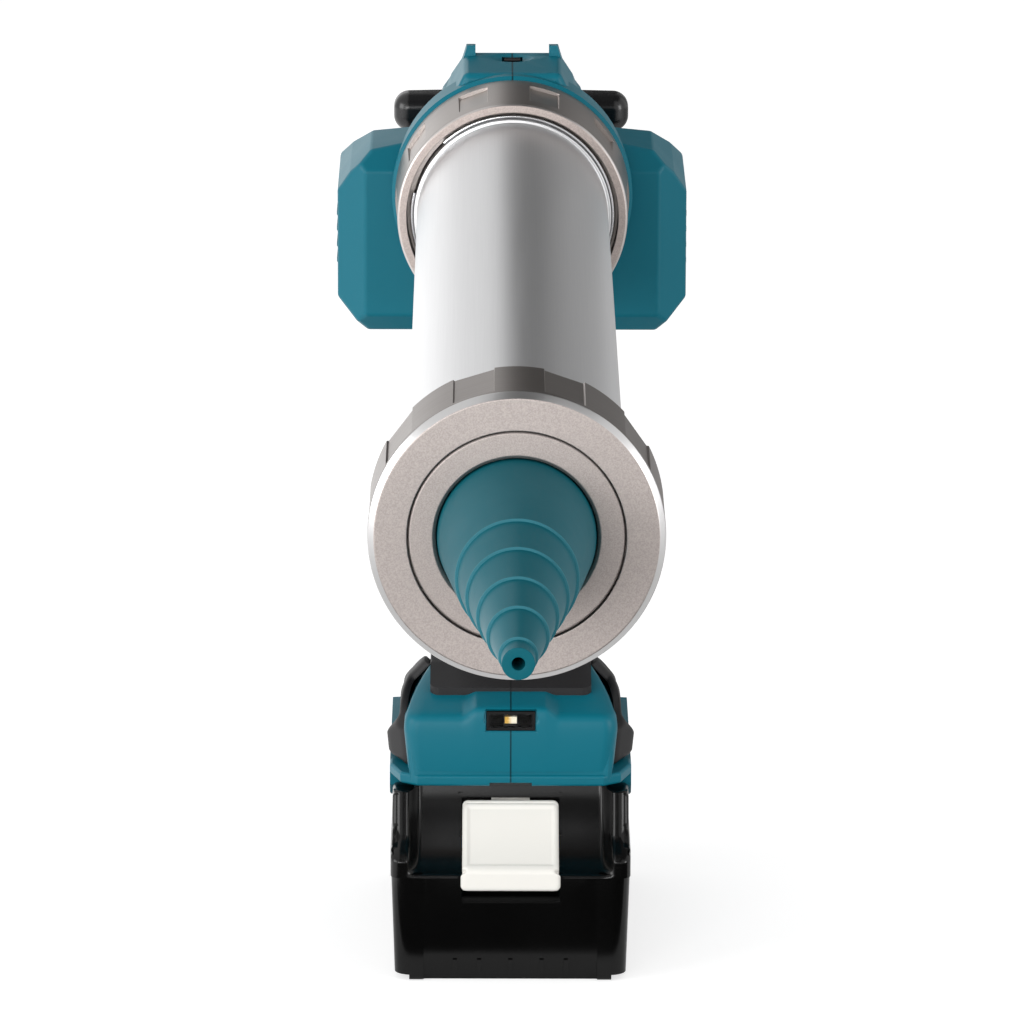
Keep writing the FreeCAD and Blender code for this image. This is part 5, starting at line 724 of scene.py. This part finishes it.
BUMPERS = {"bumper_left": -1, "bumper_right": 1}
SHELLS = {"housing_left", "housing_right"}
ON_FOOT = SHELLS | {"housing_screws"}
BEHIND_FRONT = {"battery_cover", "battery_tray"}
FOOT_REACH, FOOT_GAP, FOOT_MARGIN = -12.0, 0.25, 1.0
COVER_REACH, COVER_GAP = -30.0, 0.2
CHIP_SHARE = np.array([0.85, 1.0, 0.6])
copied = [node for node in nodes if node not in RINGS and node not in BUMPERS]
for node in copied:
    points, faces = merged_copy(node)
    if node in ON_FOOT:
        points[:, 2] = rounded_shoulder(*(points / MM).T) * MM
    x, y, z = (points / MM).T
    if node in SHELLS:
        in_foot = (z > FOOT_LOW) & (z < FOOT_HIGH) & (np.abs(x) < SIDE_HALF + FOOT_MARGIN)
        behind(points, in_foot & (y < FOOT_REACH), foot_front(x, z), FOOT_GAP)
    if node in BEHIND_FRONT:
        behind(points, (z > FRONT_FLOOR) & (y < COVER_REACH), battery_front(x, z), COVER_GAP)
    if node == "led_chip":
        middle = points.mean(axis=0)
        points = middle + (points - middle) * CHIP_SHARE
    lay_piece(node, points, faces)
print(f"{len(copied)} smooth copies")

# %% [markdown]
# ## Sheets with a thickness
# Rubber, fronts and button are sheets: one grid of points in front, one behind. A solidify modifier gives
# every point the same thickness, and these need their own, so the two grids are joined here.

# %% closed sheets


def slab(front, back):
    """Closed sheet between two grids of points: each row is a loop out along the front and home along the
    back, and the first and last rows are capped across the thickness."""
    rows, half = front.shape[:2]
    loop = np.concatenate([front, back[:, ::-1]], axis=1)
    count = 2 * half
    body = wrapped_grid(rows, count).reshape(rows, count, 4)[:-1].reshape(-1, 4)
    j = np.arange(half - 1)
    cap = np.stack([j, count - 1 - j, count - 2 - j, j + 1], axis=-1)
    last = (rows - 1) * count + cap[:, ::-1]
    return loop.reshape(-1, 3) * MM, np.concatenate([body, cap, last])


print("sheets ready")

# %% [markdown]
# ## Rubber on the foot
# A rubber band wraps each rear shoulder of the foot and swells into a bumper low on the side. It is a
# sheet laid over the shell's own section: the first coordinate runs from the top edge round the shoulder
# and down the side wall, the second along Y, and the thickness is a smooth hill over that rectangle.

# %% rubber bumpers
BAND_COLUMNS, BAND_ROWS, BAND_PASSES = 60, 70, 40
BAND_TURN, BAND_INNER, BAND_LOW = 0.45, 25.5, 63.0
BAND_FRONT, BAND_BACK, SWEEP_START, SWEEP_END = -33.5, 44.0, 0.28, 0.62
ROOF_START, ROOF_END, ROOF_FALL = 0.5, 58.0, 17.0
FRONT_RAMP, TOP_REACH, SIDE_REACH, BAND_ROUND = 0.4, 30.0, 26.0, 1.6
BAND_RIM, BAND_THICK, SWELL_THICK, BAND_SUNK = 0.2, 1.7, 4.4, 0.3
SWELL_TOP, SWELL_FULL, SWELL_SLOPE, SWELL_PIVOT, SWELL_FROM = 77.5, 71.5, 0.283, -25.0, -23.0
TUCK, TUCK_TOP = 0.3, 66.0


def foot_section(u, y):
    """Place on the shell's section for u from 0, at the top edge, over the shoulder to 1, low on the side."""
    roof = BASE_TOP - ROOF_FALL * np.clip((y - ROOF_START) / (ROOF_END - ROOF_START), 0.0, 1.0)
    across = BAND_INNER + (SIDE_HALF - BAND_INNER) * np.clip(u / BAND_TURN, 0.0, 1.0)
    slope = BASE_TOP - (across - TOP_HALF) * (BASE_TOP - SHOULDER) / (SIDE_HALF - TOP_HALF)
    height = rounded_shoulder(across, y, np.minimum(roof, slope))
    down = np.clip((u - BAND_TURN) / (1 - BAND_TURN), 0.0, 1.0)
    height = height + (BAND_LOW - height) * down
    return np.where(u > BAND_TURN, side_wall(height), across), height


def bumper(node, side):
    """Sheet over the foot's section: point = shell + normal * thickness, with a swelling low on the side."""
    u = np.linspace(0.0, 1.0, BAND_COLUMNS)[None, :]
    v = np.linspace(0.0, 1.0, BAND_ROWS)[:, None]
    start = BAND_FRONT * smooth(u, SWEEP_START, SWEEP_END)
    y = start + (BAND_BACK - start) * v
    x, z = foot_section(u, y)
    for _ in range(BAND_PASSES):
        x[:, 1:-1] = (x[:, :-2] + 2 * x[:, 1:-1] + x[:, 2:]) / 4
        z[:, 1:-1] = (z[:, :-2] + 2 * z[:, 1:-1] + z[:, 2:]) / 4
    slope_x, slope_z = np.gradient(x, axis=1), np.gradient(z, axis=1)
    length = np.hypot(slope_x, slope_z) + 1e-9
    normal_x, normal_z = -slope_z / length, slope_x / length
    ends = np.minimum((y - start) * FRONT_RAMP, BAND_BACK - y)
    edge = np.minimum(ends, np.minimum(TOP_REACH * u, SIDE_REACH * (1 - u)))
    full = 1 - rounded_edge(edge, BAND_ROUND) / BAND_ROUND
    level = z + SWELL_SLOPE * (y - SWELL_PIVOT)
    tuck = 1 - TUCK * smooth(z, TUCK_TOP, BAND_LOW)
    swell = smooth(level, SWELL_TOP, SWELL_FULL) * tuck * smooth(y, BAND_FRONT, SWELL_FROM)
    thick = BAND_RIM + BAND_THICK * full + SWELL_THICK * swell * full
    front = np.stack([side * (x + normal_x * thick), y, z + normal_z * thick], axis=-1)
    back = np.stack([side * (x - normal_x * BAND_SUNK), y, z - normal_z * BAND_SUNK], axis=-1)
    lay_piece(node, *slab(front, back), SOFT_ANGLE)


for node, side in BUMPERS.items():
    bumper(node, side)
print(f"{len(BUMPERS)} rubber bumpers")

# %% [markdown]
# ## Fronts of the foot and the battery
# Each front is one moulded surface: a height over the (x, z) rectangle, so its highlights run on without a
# corner, and its sides turn back with a quarter circle. The columns are spaced by a sine, which crowds them
# where the surface turns. The foot is sunk behind the lamp's window, and the battery has a well behind the
# button, which moves down there when it is pressed.

# %% front sheets
FOOT_ROWS, FOOT_COLUMNS, FOOT_THICK = 170, 181, 3.0
LAMP_HEIGHT, LAMP_DEPTH = 80.0, 10.5
WINDOW_WIDE, WINDOW_TALL, WINDOW_EDGE = 8.0, 3.5, 0.4
COVER_ROWS, COVER_COLUMNS, COVER_THICK = 120, 161, 1.6
COVER_HALF, COVER_STEP, STEP_LOW, STEP_HIGH = 37.3, 0.75, 40.0, 46.0
FRONT_ROUND = 3.2
WELL_DEPTH, WELL_OUTER, WELL_INNER, WELL_HIGH, WELL_LOW = 15.0, 15.95, 15.6, 55.2, 54.6
BACK_SHARE = 0.985


def crowded(columns):
    """Sines of even angles from -90 to 90 degrees: from -1 to 1, crowded towards the ends."""
    return np.sin(np.linspace(-math.pi / 2, math.pi / 2, columns))[None, :]


def thickened(x, y, z, thick):
    """Front grid of points, and a slightly narrower one behind it by the thickness."""
    z = z + 0 * x
    return np.stack([x, y, z], axis=-1), np.stack([x * BACK_SHARE, y + thick, z], axis=-1)


def foot_sheet():
    """Point (u, z): x = half width * sin(u), y = foot front, sunk deep behind the lamp's window."""
    z = np.linspace(FOOT_LOW, FOOT_HIGH, FOOT_ROWS)[:, None]
    x = foot_half(z) * crowded(FOOT_COLUMNS)
    across = smooth(np.abs(x), WINDOW_WIDE, WINDOW_WIDE - WINDOW_EDGE)
    window = across * smooth(np.abs(z - LAMP_HEIGHT), WINDOW_TALL, WINDOW_TALL - WINDOW_EDGE)
    return thickened(x, foot_front(x, z) + LAMP_DEPTH * window, z, FOOT_THICK)


def cover_sheet():
    """Point (u, z): x = half width * sin(u), y = battery front + quarter-circle fall at the sides, sunk
    into the well behind the button."""
    z = np.linspace(FRONT_FLOOR, FRONT_TOP, COVER_ROWS)[:, None]
    half = COVER_HALF - COVER_STEP * smooth(z, STEP_LOW, STEP_HIGH)
    x = half * crowded(COVER_COLUMNS)
    well = smooth(np.abs(x), WELL_OUTER, WELL_INNER) * smooth(z, WELL_HIGH, WELL_LOW)
    y = battery_front(x, z) + rounded_edge(half - np.abs(x), FRONT_ROUND) + WELL_DEPTH * well
    return thickened(x, y, z, COVER_THICK)


def add_overlay(name, body, slot, front, back):
    """Closed sheet that rides on a body in front of its CAD shape."""
    return lay_mesh(name, body, slot, *slab(front, back), SOFT_ANGLE)


foot = add_overlay("foot_front", body_of["housing_left"], "shell_plastic", *foot_sheet())
cover = add_overlay("battery_front", body_of["battery_cover"], "battery_plastic", *cover_sheet())
print(f"foot front of {len(foot.data.polygons)} faces, battery front of {len(cover.data.polygons)}")

# %% [markdown]
# ## Battery button
# The cream button is a curved plate with a raised rim and a front lip for the thumb. Its path in side view
# is the lip's upright front and then a chord that sags by a shallow parabola. A bevelled box would bulge at
# the corners; here each row is as wide as a rounded rectangle is at that place.

# %% button face
PLATE_FOOT, PLATE_HEAD, PLATE_SAG = np.array([-59.2, 36.9]), np.array([-39.9, 53.0]), 1.3
LIP_FRONT, LIP_LOW, LIP_HIGH, LIP_LEAN = -60.25, 29.7, 35.9, 0.8
LIP_ROWS, PLATE_ROWS, BUTTON_COLUMNS = 14, 60, 61
BUTTON_HALF, PLATE_HEAD_ROUND, PLATE_FOOT_ROUND = 15.05, 2.2, 1.2
LIP_HALF, LIP_LOW_ROUND, LIP_HIGH_ROUND = 15.5, 2.0, 0.9
RIM_ROUND, PANEL_DEPTH, PANEL_OUTER, PANEL_INNER = 1.3, 0.45, 1.5, 2.3
BUTTON_THICK = 3.4


def button_face():
    """Plate along lip and curve: point = path + inward normal * depth, where the depth falls off at the rim
    and steps down half a millimetre inside a border. The curve is a chord with a shallow parabola."""
    t = np.linspace(0.0, 1.0, PLATE_ROWS)[:, None]
    chord = PLATE_HEAD - PLATE_FOOT
    square = np.array([chord[1], -chord[0]]) / np.linalg.norm(chord)
    plate = PLATE_FOOT + chord * t + square * PLATE_SAG * 4 * t * (1 - t)
    rise = np.linspace(LIP_LOW, LIP_HIGH, LIP_ROWS)
    path = np.concatenate([np.stack([np.full_like(rise, LIP_FRONT), rise], axis=-1), plate])
    run = np.concatenate([[0.0], np.cumsum(np.linalg.norm(np.diff(path, axis=0), axis=1))])
    level = math.degrees(math.atan2(square[1], square[0]))
    lean = np.concatenate([np.linspace(0.0, level * LIP_LEAN, LIP_ROWS), np.full(PLATE_ROWS, level)])
    inward = np.stack([np.cos(np.radians(lean)), np.sin(np.radians(lean))], axis=-1)
    length, crease, lip_end = run[-1], run[LIP_ROWS], run[LIP_ROWS - 1]
    lip_half = LIP_HALF - rounded_edge(run, LIP_LOW_ROUND) - rounded_edge(lip_end - run, LIP_HIGH_ROUND)
    plate_half = BUTTON_HALF - rounded_edge(length - run, PLATE_HEAD_ROUND)
    plate_half = plate_half - rounded_edge(run - crease, PLATE_FOOT_ROUND)
    half = np.where(np.arange(len(run)) < LIP_ROWS, lip_half, plate_half)[:, None]
    x = half * crowded(BUTTON_COLUMNS)
    rim = np.minimum(half - np.abs(x), np.minimum(run, length - run)[:, None])
    border = np.minimum(BUTTON_HALF - np.abs(x), np.minimum(length - run, run - crease)[:, None])
    depth = rounded_edge(rim, RIM_ROUND) + PANEL_DEPTH * smooth(border, PANEL_OUTER, PANEL_INNER)
    middle = np.stack([x, path[:, :1] + 0 * x, path[:, 1:] + 0 * x], axis=-1)
    step = np.stack([0 * x, inward[:, :1] + 0 * x, inward[:, 1:] + 0 * x], axis=-1)
    return middle + step * depth[..., None], middle + step * BUTTON_THICK


plate = add_overlay("button_face", body_of["battery_button"], "button_plastic", *button_face())
print(f"button face of {len(plate.data.polygons)} faces")

# %% [markdown]
# ## White surround and floor
# The picture has a plain white ground. The world is white where the camera, a mirror or glass looks, and
# dimmer as a light, so that the shapes keep their shade. The pale floor glows a little for the camera,
# which whitens it and leaves the tool's soft shadow in.

# %% world and floor
WORLD_LIGHT, WORLD_SEEN = 0.6, 1.0
FLOOR_SEEN, FLOOR_MIRRORED, FLOOR_REACH = 0.62, 0.35, 4
WHITE, BLACK = (1, 1, 1, 1), (0, 0, 0, 1)


def lay_sheet(name, corners, material):
    """Flat four-cornered sheet that belongs to the stage."""
    mesh = bpy.data.meshes.new(name)
    mesh.from_pydata(corners, [], [(0, 1, 2, 3)])
    mesh.materials.append(material)
    sheet = bpy.data.objects.new(name, mesh)
    bpy.context.scene.collection.objects.link(sheet)
    return sheet


def make_world():
    """White where the camera, a mirror or glass looks; a softer light for all other rays."""
    world = bpy.data.worlds.new("studio")
    bpy.context.scene.world = world
    world.use_nodes = True
    world.node_tree.nodes.clear()
    studio = Wiring(world.node_tree)
    seen = studio.ray("Camera").or_more(studio.ray("Glossy")).or_more(studio.ray("Transmission"))
    light = studio.node("ShaderNodeBackground", {}, {"Color": WHITE, "Strength": WORLD_LIGHT})
    white = studio.node("ShaderNodeBackground", {}, {"Color": WHITE, "Strength": WORLD_SEEN})
    both = studio.node("ShaderNodeMixShader", {}, {0: seen, 1: light, 2: white})
    out = world.node_tree.nodes.new("ShaderNodeOutputWorld")
    studio.feed(out.inputs["Surface"], both)


def make_floor():
    """Pale floor; the camera sees it whitened, with the tool's soft shadow left in."""
    finish = Finish("floor", Roughness=0.9, Specular_IOR_Level=0.1)
    finish.set(Base_Color=finish.mix(finish.noise(3.0), tint("c9c9c9"), tint("cdcdcd")))
    strength = finish.ray("Camera") * FLOOR_SEEN + finish.ray("Glossy") * FLOOR_MIRRORED
    glow = finish.node("ShaderNodeEmission", {}, {"Strength": strength})
    plain = Signal(finish, finish.shader.outputs[0])
    both = finish.node("ShaderNodeAddShader", {}, {0: plain, 1: glow})
    finish.feed(finish.tree.nodes["Material Output"].inputs["Surface"], both)
    far = FLOOR_REACH
    lay_sheet("floor", [(-far, -far, 0), (far, -far, 0), (far, far, 0), (-far, far, 0)], finish.material)


make_world()
make_floor()
print(f"white world and a floor {2 * FLOOR_REACH} m wide")

# %% [markdown]
# ## Soft boxes and cards
# Three soft boxes light the tool: a key on the left, one in front beside the camera and a small fill on the
# right. Cards are what a product photographer hangs up so that black plastic and satin metal have something
# dark or bright to mirror. A card is given by its near and far edge, each as left, right, y and z, and by a
# shade from black to brighter than white; only reflections see it.

# %% lamps and cards
TARGET = (0.0, -0.2, 0.2)
LAMPS = {
    "key": ((-1.6, -0.8, 0.6), (1.2, 1.0), 17.5),
    "front": ((-0.7, -2.3, 0.5), (1.2, 0.7), 21.5),
    "fill": ((1.6, -1.0, 0.5), (0.6, 0.9), 11.0),
}
BACK, ROOF, TABLE, LOW = 1.5, 2.4, 0.012, 0.004
CARDS = {
    "card_back": ((-0.08, 0.3, BACK, 0.3), (-0.08, 0.3, BACK, ROOF), 0.06),
    "card_back_right": ((0.3, 1.5, BACK, 0.1), (0.3, 1.5, BACK, ROOF), 0.3),
    "card_above": ((-0.3, 1.9, -1.0, ROOF), (-0.3, 1.9, BACK, ROOF), 0.15),
    "card_under_battery": ((-0.4, 0.4, -0.25, LOW), (-0.4, 0.4, -0.07, LOW), 0.03),
    "card_under_wings": ((-0.5, 0.5, -1.0, LOW), (-0.5, 0.5, -0.48, LOW), 0.03),
    "card_front": ((-0.5, 0.5, -2.8, 1.15), (-0.5, 0.5, -1.0, ROOF), 0.08),
    "card_glare": ((-1.2, -0.4, BACK, 0.0), (-1.2, -0.4, BACK, 0.5), 1.7),
    "card_table_left": ((-1.6, -0.1, -0.3, TABLE), (-1.6, 0.0, BACK, TABLE), 1.5),
    "card_table_right": ((0.06, 1.5, 0.15, TABLE), (0.06, 1.5, BACK, TABLE), 0.45),
}


def add_box_lamp(name, place, size, power):
    """Rectangular soft box whose -Z looks from its place at the target."""
    lamp = bpy.data.lights.new(name, "AREA")
    lamp.shape = "RECTANGLE"
    lamp.size, lamp.size_y = size
    lamp.energy = power
    holder = bpy.data.objects.new(name, lamp)
    bpy.context.scene.collection.objects.link(holder)
    back = np.subtract(place, TARGET) / np.linalg.norm(np.subtract(place, TARGET))
    side = np.cross((0.0, 0.0, 1.0), back)
    side /= np.linalg.norm(side)
    matrix = np.eye(4)
    matrix[:3] = np.stack([side, np.cross(back, side), back, place], axis=-1)
    holder.matrix_world = [list(row) for row in matrix.T]


def add_card(name, near, far, shade):
    """Card between a near and a far edge, of a grey shade that only mirror rays see."""
    finish = Finish(name, Base_Color=BLACK, Roughness=1.0, Specular_IOR_Level=0.0,
                    Emission_Color=WHITE, Emission_Strength=shade)
    (left, right, *near_place), (far_left, far_right, *far_place) = near, far
    corners = [(left, *near_place), (right, *near_place), (far_right, *far_place), (far_left, *far_place)]
    card = lay_sheet(name, corners, finish.material)
    card.visible_camera = card.visible_diffuse = card.visible_shadow = card.visible_transmission = False


for name, lamp in LAMPS.items():
    add_box_lamp(name, *lamp)
for name, card in CARDS.items():
    add_card(name, *card)
bpy.context.scene.view_settings.view_transform = "Standard"
print(f"{len(LAMPS)} soft boxes, {len(CARDS)} cards")
